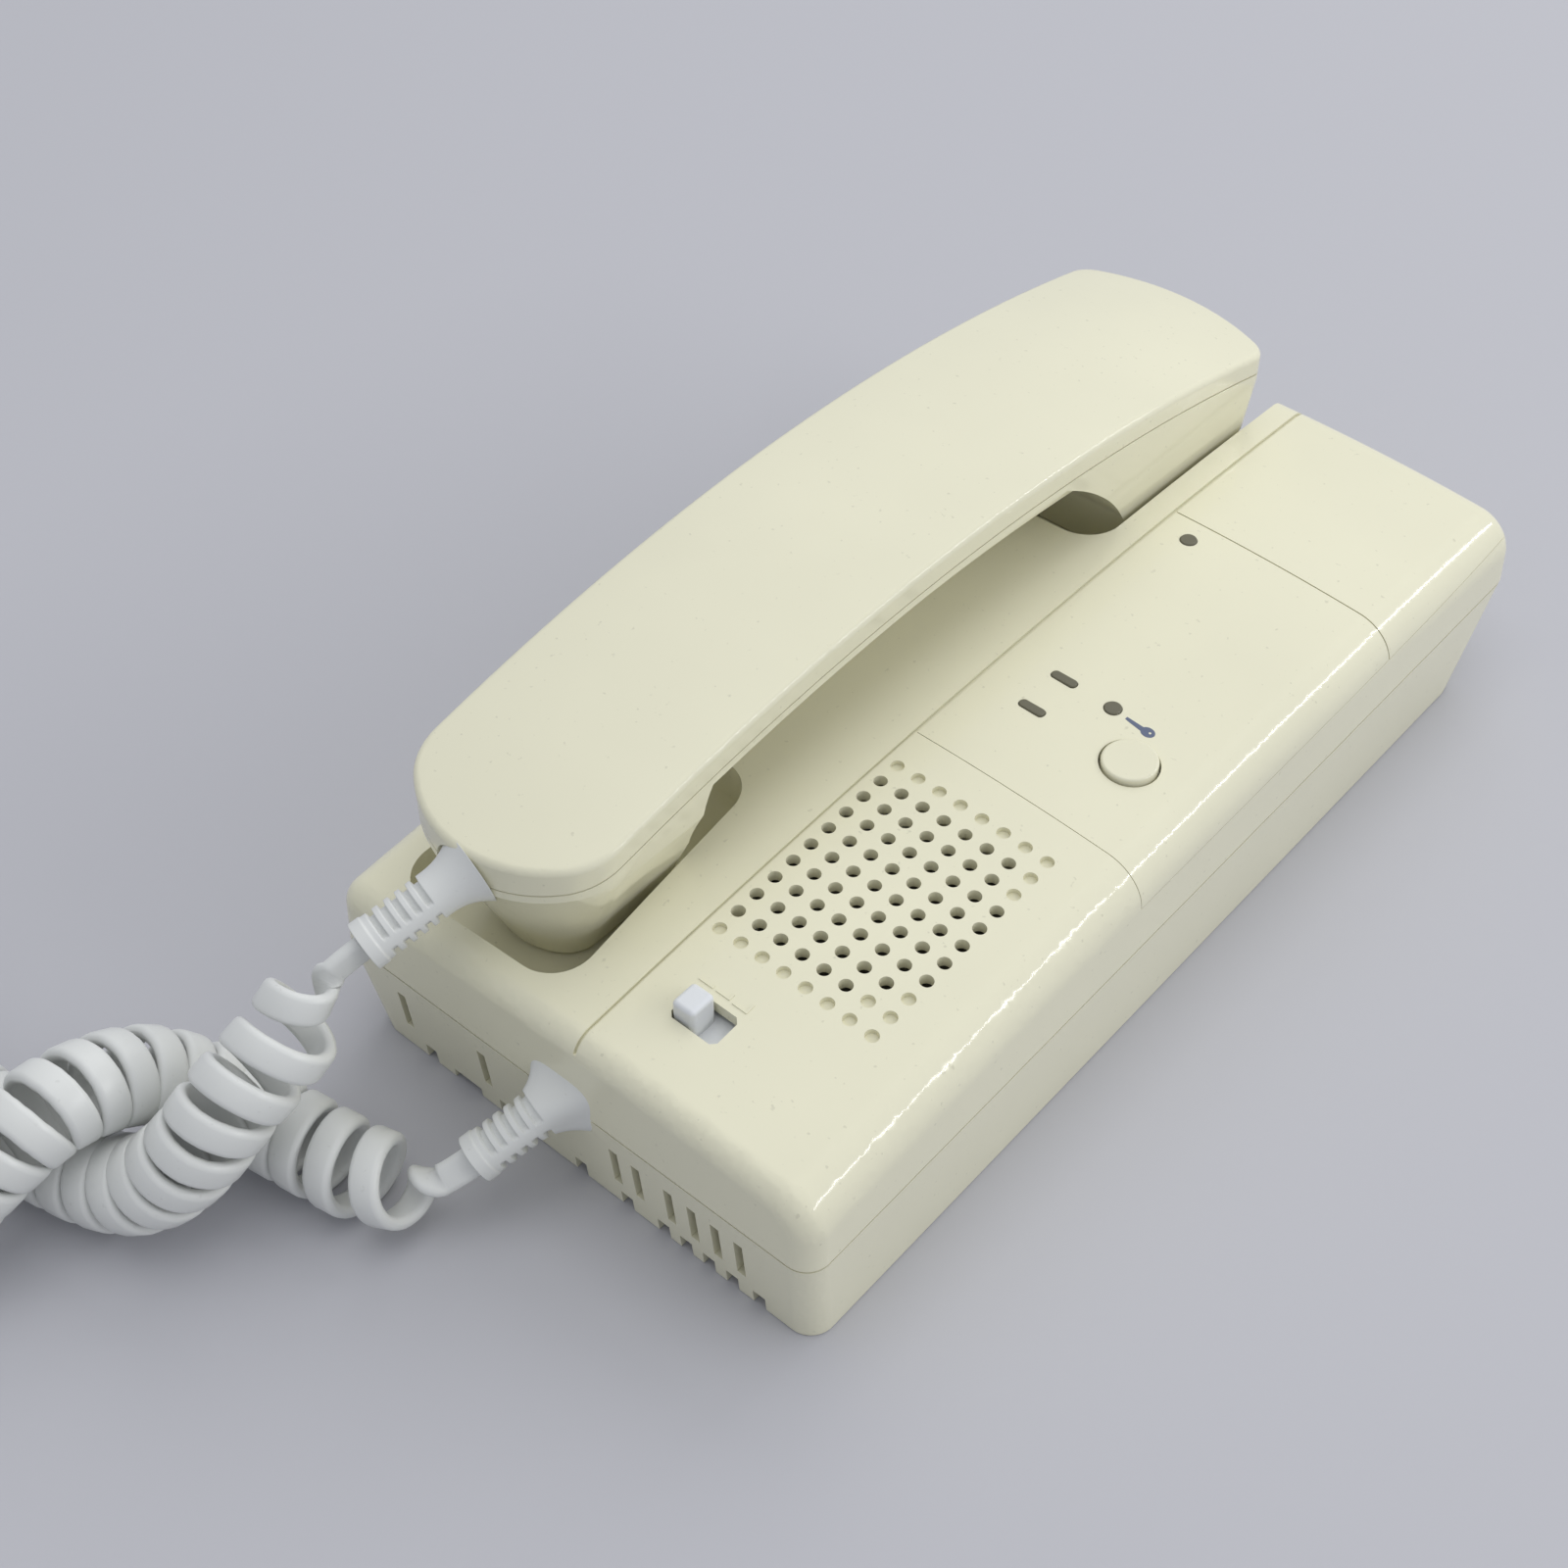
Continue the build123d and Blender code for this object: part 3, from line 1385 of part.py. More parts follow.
with BuildPart() as handset_inner_shell:
    add(arched_bar(-handle_lip, -seam_half, 0))
    add(arched_bar(-belly_depth, -seam_half, belly_inset))
    add(cup_outlines(0))
    add(arched_bar(belly_floor, overrun, belly_inset + handset_wall), mode=Mode.SUBTRACT)
    add(cup_outlines(-cup_wall), mode=Mode.SUBTRACT)
    add(shell_posts(-belly_depth + handset_wall / 2, pad_top, boss_diameter))
    add(shell_posts(-2 * belly_depth, handset_screw_seat, counterbore), mode=Mode.SUBTRACT)
    add(shell_posts(-belly_depth, pad_top, screw_diameter + 2 * screw_clearance), mode=Mode.SUBTRACT)
    with BuildSketch(Plane.XY.offset(ear_cup_foot)):
        with Locations(receiver_spot):
            Circle(ear_hole / 2)
            with PolarLocations(ear_hole_ring, ear_holes):
                Circle(ear_hole / 2)
    extrude(amount=cup_wall, mode=Mode.SUBTRACT)
    add(posts([microphone_spot], mouth_cup_foot, mouth_cup_foot + cup_wall, ear_hole), mode=Mode.SUBTRACT)
    add(relief_way(handset_relief_root, handset_relief_end, handset_relief_inward), mode=Mode.SUBTRACT)
keep(handset_inner_shell.part.solids().sort_by(SortBy.VOLUME)[-1], "handset_inner_shell")
with BuildPart() as handset_screws:
    for y in handset_screw_ys:
        add(screws([(handset_x, y)], parting_height(y) + handset_screw_seat, handset_screw_length))
keep(handset_screws.part, "handset_screws")

# Handset contents: receiver on its gasket, microphone in its grommet and a steel weight
receiver_seat = ear_cup_foot + cup_wall
receiver_low = receiver_seat + gasket_thickness
receiver_top = receiver_low + receiver_height
with BuildPart() as receiver_gasket:
    add(posts([receiver_spot], receiver_seat, receiver_low, receiver_diameter))
    add(posts([receiver_spot], receiver_seat, receiver_low, gasket_opening), mode=Mode.SUBTRACT)
keep(receiver_gasket.part, "receiver_gasket")
with BuildPart() as receiver_capsule:
    add(posts([receiver_spot], receiver_low, receiver_top, receiver_diameter))
    fillet(receiver_capsule.faces().sort_by(Axis.Z)[-1].edges(), gasket_thickness)
keep(receiver_capsule.part, "receiver_capsule")
microphone_seat = mouth_cup_foot + cup_wall
microphone_low = microphone_seat + grommet_wall
microphone_top = microphone_low + microphone_height
grommet_diameter = microphone_diameter + 2 * grommet_wall
with BuildPart() as microphone_grommet:
    add(posts([microphone_spot], microphone_seat, microphone_top - grommet_wall, grommet_diameter))
    add(posts([microphone_spot], microphone_low, microphone_top, microphone_diameter), mode=Mode.SUBTRACT)
    add(posts([microphone_spot], microphone_seat, microphone_low, ear_hole), mode=Mode.SUBTRACT)
keep(microphone_grommet.part, "microphone_grommet")
keep(posts([microphone_spot], microphone_low, microphone_top, microphone_diameter), "microphone_capsule")
with BuildPart() as handset_weight:
    add(arched_bar(belly_floor, belly_floor + weight_thickness, 0))
    add(
        slab(
            handset_x - weight_width / 2,
            handset_x + weight_width / 2,
            arch_crest_y - weight_length / 2,
            arch_crest_y + weight_length / 2,
            0,
            above,
        ),
        mode=Mode.INTERSECT,
    )
keep(handset_weight.part, "handset_weight")

# Strain reliefs at the two ends of the curly cord
handset_relief = (handset_relief_root, handset_relief_end, handset_relief_inward)
case_relief = (case_relief_root, case_relief_end, case_relief_inward)
keep(relief(*handset_relief, relief_diameter), "handset_strain_relief")
keep(relief(*case_relief, relief_flange), "case_strain_relief")


def inner_end(root, end, inward, across):
    """A place on a strain relief's inner end, a little to one side of its axis."""
    axis = (Vector(*end) - Vector(*root)).normalized()
    aside = (Vector(1, 0, 0) - axis * axis.X).normalized()
    return Vector(*root) - axis * inward + aside * across, axis


def lead(points, diameter):
    """A thin insulated wire through a list of points, bent as gently as they let it."""
    path, radii = eased(points)
    with BuildPart() as wire:
        with BuildLine() as line:
            FilletPolyline(*path, radius=radii)
        with BuildSketch(Plane(origin=path[0], z_dir=path[1] - path[0])):
            Circle(diameter / 2)
        sweep(path=line.wires()[0])
    return wire.part


def eased(points):
    """The points of a route with the radius that each of its corners has room for."""
    path = [Vector(*point) for point in points]
    radii = []
    for before, corner, after in zip(path, path[1:], path[2:]):
        half_turn = radians((corner - before).get_angle(after - corner)) / 2
        run = min((corner - before).length, (after - corner).length)
        radii.append(fillet_share * run / tan(half_turn))
    return path, radii


# Wires inside the handset, from the cord's relief to the receiver and to the microphone
relief_inside, handset_axis = inner_end(*handset_relief, lead_spread)
receiver_lead_x = handset_x + lead_spread
keep(
    lead(
        [tuple(relief_inside), tuple(relief_inside - handset_axis * lead_run)]
        + [(handset_x + lead_side, y, parting_height(y) + lead_rise) for y in lead_ys]
        + [(receiver_lead_x, receiver_y, height) for height in (receiver_top + lead_side, receiver_top)],
        lead_diameter,
    ),
    "receiver_lead",
)
relief_inside, handset_axis = inner_end(*handset_relief, -lead_spread)
keep(
    lead(
        [
            tuple(relief_inside),
            tuple(relief_inside - handset_axis * lead_run),
            (handset_x - lead_spread, microphone_y, microphone_top + lead_run),
            (handset_x - lead_spread, microphone_y, microphone_top),
        ],
        lead_diameter,
    ),
    "microphone_lead",
)

# Wires inside the case: the cord's tail to its socket, and the flat link between the two boards
tail_start, tail_axis = inner_end(*case_relief, 0)
keep(
    lead(
        [
            tuple(tail_start),
            tuple(tail_start - tail_axis * lead_run),
            *tail_route,
            (connector_x, connector_y, board_top + connector_size[2] + lead_run),
            (connector_x, connector_y, board_top + connector_wall),
        ],
        tail_diameter,
    ),
    "cord_tail",
)
with BuildPart() as board_link_cable:
    with BuildLine(Plane.XZ.offset(-link_y)) as line:
        FilletPolyline(
            (link_x, board_top),
            (link_x, board_top + link_bow),
            (link_x + link_bow, (board_top + control_board_low_face) / 2),
            (link_x, control_board_low_face - link_bow),
            (link_x, control_board_low_face),
            radius=link_bow / 2,
        )
    with BuildSketch(Plane(origin=(link_x, link_y, board_top), z_dir=(0, 0, 1))):
        Rectangle(link_thickness, link_width)
    sweep(path=line.wires()[0])
keep(board_link_cable.part, "board_link_cable")


# Curly cord: a helix wound about its route, which opens out near both ends and runs straight into the reliefs
route_points, route_radii = eased(cord_route)
print("cord route radii", [round(radius, 1) for radius in route_radii])
with BuildLine() as route_line:
    FilletPolyline(*route_points, radius=route_radii)
route = route_line.wires()[0]
cord_start = route_points[0] + (route_points[1] - route_points[0]).normalized() * running_gap
wound_start = running_gap + cord_diameter
wound_length = route.length - wound_start - cord_diameter
grid = [wound_start + wound_length * step / route_steps for step in range(route_steps + 1)]
grid_places = [route.position_at(distance, position_mode=PositionMode.LENGTH) for distance in grid]
grid_ways = [route.tangent_at(distance, position_mode=PositionMode.LENGTH) for distance in grid]

# Direction square to the route, carried along it without twisting, and the winding's phase in turns
square = grid_ways[0].cross(Vector(0, 0, 1)).normalized()
grid_squares = []
grid_turns = [0.0]
for index, way in enumerate(grid_ways):
    square = (square - way * square.dot(way)).normalized()
    grid_squares.append(square)
    ends = min(index, route_steps - index) / route_steps * wound_length
    openness = max(0.0, 1 - ends / open_length) ** 2
    grid_turns.append(grid_turns[-1] + 1 / (1 + (open_pitch_ratio - 1) * openness))
turn_scale = coil_turns / grid_turns[route_steps]
print("cord pitch", round(wound_length / route_steps / turn_scale, 2), "route", round(route.length))


def wound_place(turn):
    """The cord's centre at a number of turns along its winding."""
    target = turn / turn_scale
    low = 0
    high = route_steps
    while high - low > 1:
        middle = (low + high) // 2
        if grid_turns[middle] <= target:
            low = middle
        else:
            high = middle
    share = (target - grid_turns[low]) / (grid_turns[high] - grid_turns[low])
    centre = grid_places[low] * (1 - share) + grid_places[high] * share
    way = (grid_ways[low] * (1 - share) + grid_ways[high] * share).normalized()
    first = grid_squares[low] * (1 - share) + grid_squares[high] * share
    first = (first - way * first.dot(way)).normalized()
    second = way.cross(first)
    ramp = min(1.0, turn / ramp_turns, (coil_turns - turn) / ramp_turns)
    radius = coil_radius * ramp**2 * (3 - 2 * ramp)
    angle = 2 * pi * turn
    return centre + (first * cos(angle) + second * sin(angle)) * radius


cord_stations = [(cord_start, grid_ways[0]), (grid_places[0], grid_ways[0])]
turn = ramp_step
while turn < coil_turns - ramp_step / 2:
    way = (wound_place(turn + turn_nudge) - wound_place(turn - turn_nudge)).normalized()
    cord_stations.append((wound_place(turn), way))
    near_end = turn < ramp_turns or turn >= coil_turns - ramp_turns
    turn += ramp_step if near_end else coil_step
cord_stations += [(grid_places[-1], grid_ways[-1]), (route_points[-1], grid_ways[-1])]
keep(wound_tube(cord_stations, cord_diameter, "curly cord"), "curly_cord")
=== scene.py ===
"""A wall intercom master station with its handset and its curly cord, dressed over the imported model."""
import json
import math

import bmesh
import bpy
from mathutils import Matrix, Vector
from mathutils.bvhtree import BVHTree

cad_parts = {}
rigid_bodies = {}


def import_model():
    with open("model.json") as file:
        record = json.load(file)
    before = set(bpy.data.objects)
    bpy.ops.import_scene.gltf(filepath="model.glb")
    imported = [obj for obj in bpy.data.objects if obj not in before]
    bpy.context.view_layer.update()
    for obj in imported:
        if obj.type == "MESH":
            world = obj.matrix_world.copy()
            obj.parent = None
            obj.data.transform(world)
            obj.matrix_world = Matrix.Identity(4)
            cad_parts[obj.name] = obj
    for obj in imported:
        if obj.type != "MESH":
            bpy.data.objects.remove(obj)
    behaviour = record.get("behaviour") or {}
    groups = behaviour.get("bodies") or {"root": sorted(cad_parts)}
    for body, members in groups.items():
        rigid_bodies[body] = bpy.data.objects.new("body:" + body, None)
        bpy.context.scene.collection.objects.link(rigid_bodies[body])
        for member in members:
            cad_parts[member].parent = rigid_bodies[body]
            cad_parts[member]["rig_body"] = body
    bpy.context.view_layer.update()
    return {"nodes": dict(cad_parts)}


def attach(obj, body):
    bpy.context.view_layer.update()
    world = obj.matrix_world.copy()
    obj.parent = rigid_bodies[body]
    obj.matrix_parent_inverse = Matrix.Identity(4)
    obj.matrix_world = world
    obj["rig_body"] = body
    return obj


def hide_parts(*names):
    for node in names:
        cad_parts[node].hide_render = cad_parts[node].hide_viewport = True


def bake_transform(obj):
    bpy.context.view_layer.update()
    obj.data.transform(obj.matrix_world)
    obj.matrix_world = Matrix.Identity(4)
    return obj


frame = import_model()

# Camera: where the photograph was taken from, above the lower right corner, with a short telephoto lens.
# Its picture is square, so the sensor's width and the lens give the field of view. It leans a little,
# so its own right is given beside the way it looks.
camera_place = Vector((0.1784, -0.2533, 0.3354))
camera_right = Vector((0.75663423, 0.65379589, -0.00745496))
camera_ahead = Vector((-0.45346927, 0.51651517, -0.72634545))
camera_down = camera_ahead.cross(camera_right)
camera_data = bpy.data.cameras.new("camera")
camera_data.sensor_fit = "HORIZONTAL"
camera_data.sensor_width = 36.0
camera_data.lens = 55.48
camera_data.clip_start = 0.01
camera_data.clip_end = 20.0
camera = bpy.data.objects.new("camera", camera_data)
camera_turn = Matrix((camera_right, -camera_down, -camera_ahead)).transposed()
camera.matrix_world = Matrix.Translation(camera_place) @ camera_turn.to_4x4()
bpy.context.scene.collection.objects.link(camera)
bpy.context.scene.camera = camera


def noise(nodes, links, place, scale, detail):
    """A noise laid out on the object's own coordinates."""
    made = nodes.new("ShaderNodeTexNoise")
    made.inputs["Scale"].default_value = scale
    made.inputs["Detail"].default_value = detail
    links.new(place.outputs["Object"], made.inputs["Vector"])
    return made.outputs["Fac"]


def ramp(nodes, links, value, positions, colours):
    """A colour that runs from the first to the second between two positions of a value."""
    made = nodes.new("ShaderNodeValToRGB")
    for element, position, colour in zip(made.color_ramp.elements, positions, colours):
        element.position = position
        element.color = (*colour, 1.0)
    links.new(value, made.inputs["Fac"])
    return made.outputs["Color"]


def spread(nodes, links, value, low, high):
    """A value stretched to run from low to high."""
    made = nodes.new("ShaderNodeMapRange")
    made.inputs["To Min"].default_value = low
    made.inputs["To Max"].default_value = high
    links.new(value, made.inputs["Value"])
    return made.outputs["Result"]


def plastic(name, colour, roughness, speckle, unevenness):
    """A moulded plastic: an even colour with faint mottling and dust specks, and a slightly uneven gloss."""
    mottle_depth = 0.955
    smoothest = 0.02
    dust_colour = (0.16, 0.14, 0.10, 1.0)
    material = bpy.data.materials.new(name)
    material.use_nodes = True
    nodes = material.node_tree.nodes
    links = material.node_tree.links
    shader = nodes["Principled BSDF"]
    shader.inputs["Roughness"].default_value = roughness
    shader.inputs["IOR"].default_value = 1.5
    place = nodes.new("ShaderNodeTexCoord")
    mottle = noise(nodes, links, place, scale=22.0, detail=3.0)
    shade = [channel * mottle_depth for channel in colour]
    dust = noise(nodes, links, place, scale=900.0, detail=1.0)
    soil = nodes.new("ShaderNodeMix")
    soil.data_type = "RGBA"
    soil.inputs["B"].default_value = dust_colour
    links.new(ramp(nodes, links, dust, (0.72, 0.8), ((0.0, 0.0, 0.0), [speckle] * 3)), soil.inputs["Factor"])
    links.new(ramp(nodes, links, mottle, (0.3, 0.7), (shade, colour)), soil.inputs["A"])
    links.new(soil.outputs["Result"], shader.inputs["Base Color"])
    gloss = noise(nodes, links, place, scale=60.0, detail=4.0)
    gloss_low = max(smoothest, roughness - unevenness)
    links.new(spread(nodes, links, gloss, gloss_low, roughness + unevenness), shader.inputs["Roughness"])
    bump = nodes.new("ShaderNodeBump")
    bump.inputs["Strength"].default_value = 0.02
    bump.inputs["Distance"].default_value = 0.0004
    links.new(noise(nodes, links, place, scale=260.0, detail=2.0), bump.inputs["Height"])
    links.new(bump.outputs["Normal"], shader.inputs["Normal"])
    return material


# Curly cord: a flat white vinyl lead wound into a tight coil, from the handset's strain relief to the case's.
# It lies on the surface, crosses itself twice and its far loop is put away outside the view.
# The points are the coil's middle, laid along the photographed cord.
cord_route = [
    (-0.0292, -0.1161, 0.0460),
    (-0.030604, -0.120594, 0.044315),
    (-0.0319, -0.1249, 0.0410),
    (-0.0324, -0.1286, 0.0374),
    (-0.0327, -0.1329, 0.0340),
    (-0.0335, -0.1387, 0.0310),
    (-0.0345, -0.1443, 0.0273),
    (-0.0361, -0.1497, 0.0214),
    (-0.0420, -0.1554, 0.0126),
    (-0.0507, -0.1589, 0.0088),
    (-0.0618, -0.1614, 0.0084),
    (-0.0718, -0.1628, 0.0085),
    (-0.0849, -0.1647, 0.0084),
    (-0.1030, -0.1680, 0.0085),
    (-0.1200, -0.1780, 0.0084),
    (-0.1290, -0.1960, 0.0085),
    (-0.1250, -0.2160, 0.0084),
    (-0.1090, -0.2285, 0.0085),
    (-0.0890, -0.2280, 0.0084),
    (-0.0735, -0.2160, 0.0085),
    (-0.0665, -0.2000, 0.0086),
    (-0.0640, -0.1865, 0.0105),
    (-0.0594, -0.1759, 0.0206),
    (-0.0570, -0.1661, 0.0260),
    (-0.0565, -0.1572, 0.0261),
    (-0.0554, -0.1459, 0.0214),
    (-0.0516, -0.1398, 0.0154),
    (-0.0462, -0.1362, 0.0110),
    (-0.0378, -0.1335, 0.0086),
    (-0.0269, -0.1318, 0.0084),
    (-0.0184, -0.1302, 0.0086),
    (-0.0112, -0.1274, 0.0096),
    (-0.007586, -0.123487, 0.012056),
    (-0.0059, -0.1192, 0.0140),
]
route_curve = bpy.data.curves.new("route", "CURVE")
route_curve.dimensions = "3D"
route_curve.resolution_u = 24
route_spline = route_curve.splines.new("NURBS")
route_spline.points.add(len(cord_route) - 1)
for point, place in zip(route_spline.points, cord_route):
    point.co = (*place, 1.0)
route_spline.order_u = 3
route_spline.use_endpoint_u = True
route_object = bpy.data.objects.new("route", route_curve)
bpy.context.scene.collection.objects.link(route_object)
bpy.context.view_layer.update()
route_mesh = bpy.data.meshes.new_from_object(route_object)
route_places = [vertex.co.copy() for vertex in route_mesh.vertices]
bpy.data.objects.remove(route_object)

# The winding follows the route: its pitch is wide at both ends and where the coil lies out of view.
# Over the entry the coil grows from the straight wire, and a far share is a part of the route's length.
coil_radius = 0.00705
ribbon_width = 0.0053
ribbon_thickness = 0.0023
pitch_tight = 0.0057
pitch_open = 0.0105
pitch_far = 0.0075
open_reach = 0.034
straight_reach = 0.006
entry_reach = 0.011
far_start_share = 0.30
far_end_share = 0.66
far_blend_share = 0.08
slim_radius = 0.002
travelled = [0.0]
for start, end in zip(route_places, route_places[1:]):
    travelled.append(travelled[-1] + (end - start).length)
route_length = travelled[-1]


def route_at(distance):
    """The route's place and direction at a distance along it."""
    low, high = 0, len(travelled) - 1
    while high - low > 1:
        middle = (low + high) // 2
        if travelled[middle] <= distance:
            low = middle
        else:
            high = middle
    share = (distance - travelled[low]) / (travelled[high] - travelled[low])
    place = route_places[low].lerp(route_places[high], share)
    before = route_places[max(low - 1, 0)]
    after = route_places[min(high + 1, len(route_places) - 1)]
    return place, (after - before).normalized()


def ease(value):
    """A smooth step between 0 and 1."""
    value = min(1.0, max(0.0, value))
    return value * value * (3.0 - 2.0 * value)


steps = 9000
slim_steps = 12
rings_per_turn = 40.0
short_of_end = 1e-7
side = route_at(0.0)[1].cross(Vector((0.0, 0.0, 1.0))).normalized()
turns = 0.0
rings = []
ring_turn = 1.0 / rings_per_turn
next_ring = 0.0
for step in range(steps + 1):
    distance = route_length * step / steps
    place, way = route_at(min(distance, route_length - short_of_end))
    side = (side - way * side.dot(way)).normalized()
    upright = way.cross(side)
    from_end = min(distance, route_length - distance)
    openness = 1.0 - ease((from_end - straight_reach) / open_reach)
    share = distance / route_length
    away = ease((share - far_start_share) / far_blend_share) * ease((far_end_share - share) / far_blend_share)
    pitch = pitch_tight + (pitch_open - pitch_tight) * openness + (pitch_far - pitch_tight) * away
    radius = coil_radius * ease((from_end - straight_reach) / entry_reach)
    angle = 2.0 * math.pi * turns
    outward = side * math.cos(angle) + upright * math.sin(angle)
    if turns >= next_ring or step == steps or (radius < slim_radius and step % slim_steps == 0):
        rings.append((place + outward * radius, outward))
        next_ring = turns + ring_turn
    if from_end > straight_reach:
        turns += route_length / steps / pitch

# Each ring of the ribbon's rounded section lies square to the wire, with its width along the coil's own axis.
section = []
corner_share = 0.48
corner_parts = 3
corner = ribbon_thickness * corner_share
corner_across = ribbon_width / 2 - corner
corner_up = ribbon_thickness / 2 - corner
for quarter, (across, up) in enumerate(((1, 1), (-1, 1), (-1, -1), (1, -1))):
    for part in range(corner_parts + 1):
        angle = math.pi / 2 * (quarter + part / corner_parts)
        across_place = across * corner_across + corner * math.cos(angle)
        section.append((across_place, up * corner_up + corner * math.sin(angle)))
cord_bmesh = bmesh.new()
cord_path = [ring[0] for ring in rings]
for index, (centre, outward) in enumerate(rings):
    before = cord_path[max(index - 1, 0)]
    after = cord_path[min(index + 1, len(cord_path) - 1)]
    along = (after - before).normalized()
    thickness_way = (outward - along * outward.dot(along)).normalized()
    width_way = along.cross(thickness_way)
    if index == 0:
        first_ring = [cord_bmesh.verts.new((0.0, 0.0, 0.0)) for _ in section]
        for a, b in zip(first_ring, first_ring[1:] + first_ring[:1]):
            cord_bmesh.edges.new((a, b))
        ring_verts = first_ring
    else:
        made = bmesh.ops.extrude_edge_only(cord_bmesh, edges=loop_edges)["geom"]
        fresh = {item for item in made if isinstance(item, bmesh.types.BMVert)}
        partner = {}
        for vert in fresh:
            for edge in vert.link_edges:
                if edge.other_vert(vert) not in fresh:
                    partner[edge.other_vert(vert)] = vert
        ring_verts = [partner[vert] for vert in ring_verts]
    loop_edges = [cord_bmesh.edges.get((a, b)) for a, b in zip(ring_verts, ring_verts[1:] + ring_verts[:1])]
    for vert, (across, up) in zip(ring_verts, section):
        vert.co = centre + width_way * across + thickness_way * up
cord_bmesh.faces.new(first_ring)
cord_bmesh.faces.new(ring_verts)
bmesh.ops.recalc_face_normals(cord_bmesh, faces=cord_bmesh.faces)
for face in cord_bmesh.faces:
    face.smooth = True


def piece_from(work, name, material):
    """A new piece of the scene from a finished bmesh, which is freed."""
    mesh = bpy.data.meshes.new(name)
    work.to_mesh(mesh)
    work.free()
    mesh.materials.append(material)
    piece = bpy.data.objects.new(name, mesh)
    bpy.context.scene.collection.objects.link(piece)
    return piece


cord_white = plastic("cord_white", (0.735, 0.745, 0.72), roughness=0.32, speckle=0.10, unevenness=0.05)
cord_ribbon = piece_from(cord_bmesh, "cord_ribbon", cord_white)

# Strain reliefs: white flexible vinyl, moulded onto the two ends of the cord.
# Each has a trumpet foot that follows its wall, a barrel with slit windows on both cheeks, and a plain cap.
barrel_radius = 0.00405
foot_length = 0.0072
foot_falloff = 2.4
window_depth = 0.0009
window_pitch = 0.0021
window_width = 0.00105
window_edge = 0.00018
window_count = 5
cheek_turn = math.radians(20.0)
cheek_start = 0.28
cheek_blend = 0.10
cap_length = 0.0023
cap_rise = 0.00022
cap_blend = 0.0004
round_power = 2.0
relief_around = 72
relief_along = 150


def relief_window(travel, length):
    """How far into a window a place along the barrel is, from 0 outside to 1 within."""
    window_first = length - cap_length - window_count * window_pitch
    place = (travel - window_first) / window_pitch
    if not 0.0 <= place < window_count:
        return 0.0
    offset = (place - math.floor(place)) * window_pitch
    return ease(min(offset, window_width - offset) / window_edge + 0.5)


def strain_relief(node, name, root, end, wall, base, base_power):
    """A moulded relief along its axis: its foot is base wide and high, and squarer with a higher power."""
    root, end, wall = Vector(root), Vector(end), Vector(wall)
    axis = (end - root).normalized()
    length = (end - root).length
    rings = []
    work = bmesh.new()
    for row in range(relief_along + 1):
        travel = length * row / relief_along
        share = min(1.0, travel / foot_length)
        blend = ease(share)
        normal = wall.lerp(axis, blend).normalized()
        right = normal.cross(Vector((0.0, 0.0, 1.0))).normalized()
        up = right.cross(normal)
        foot = (1.0 - share) ** foot_falloff
        power = base_power + (round_power - base_power) * blend
        centre = root + axis * travel
        window = relief_window(travel, length)
        cap = cap_rise * ease((travel - length + cap_length) / cap_blend)
        ring = []
        for turn in range(relief_around):
            angle = 2.0 * math.pi * turn / relief_around
            across, rise = math.cos(angle), math.sin(angle)
            reach = (abs(across) ** power + abs(rise) ** power) ** (-1.0 / power)
            wide = reach * (barrel_radius + (base[0] - barrel_radius) * foot)
            high = reach * (barrel_radius + (base[1] - barrel_radius) * foot)
            cheek = ease((abs(math.sin(angle + cheek_turn)) - cheek_start) / cheek_blend)
            dip = window_depth * window * cheek
            place = centre + right * across * (wide - dip + cap) + up * rise * (high - dip + cap)
            ring.append(work.verts.new(place))
        rings.append(ring)
    for before, after in zip(rings, rings[1:]):
        for turn in range(relief_around):
            following = (turn + 1) % relief_around
            work.faces.new((before[turn], before[following], after[following], after[turn]))
    work.faces.new(rings[0])
    work.faces.new(rings[-1])
    bmesh.ops.recalc_face_normals(work, faces=work.faces)
    for face in work.faces:
        face.smooth = len(face.verts) == 4
    piece = piece_from(work, name, cord_white)
    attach(piece, frame["nodes"][node]["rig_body"])
    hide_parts(node)


strain_relief(
    "handset_strain_relief",
    "handset_relief_skin",
    root=(-0.0234, -0.0975, 0.05297),
    end=cord_route[0],
    wall=(-0.25, -0.93, -0.25),
    base=(0.0066, 0.0066),
    base_power=2.0,
)
strain_relief(
    "case_strain_relief",
    "case_relief_skin",
    root=(0.0003, -0.1044, 0.0217),
    end=cord_route[-1],
    wall=(0.0, -1.0, 0.0),
    base=(0.0074, 0.0058),
    base_power=3.6,
)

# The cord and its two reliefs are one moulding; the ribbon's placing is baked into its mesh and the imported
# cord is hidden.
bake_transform(cord_ribbon)
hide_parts("curly_cord")

# Skins: the pieces that show most are joined and smooth-shaded anew, in their packed form.
# The others keep their mesh and only get a material.
smooth_angle = math.radians(28.0)
merge_gap = 0.000004


def refined(node, material):
    """The node's own form as one joined, smooth-shaded mesh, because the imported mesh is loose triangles."""
    name = node + "_skin"
    mesh = frame["nodes"][node].data.copy()
    mesh.name = name
    work = bmesh.new()
    work.from_mesh(mesh)
    bmesh.ops.remove_doubles(work, verts=work.verts, dist=merge_gap)
    for face in work.faces:
        face.smooth = True
    for edge in work.edges:
        edge.smooth = len(edge.link_faces) == 2 and edge.calc_face_angle(0.0) < smooth_angle
    work.to_mesh(mesh)
    work.free()
    mesh.materials.clear()
    mesh.materials.append(material)
    piece = bpy.data.objects.new(name, mesh)
    bpy.context.scene.collection.objects.link(piece)
    weighted = piece.modifiers.new("even_shading", "WEIGHTED_NORMAL")
    weighted.keep_sharp = True
    weighted.weight = 100
    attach(piece, frame["nodes"][node]["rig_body"])
    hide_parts(node)
    return piece


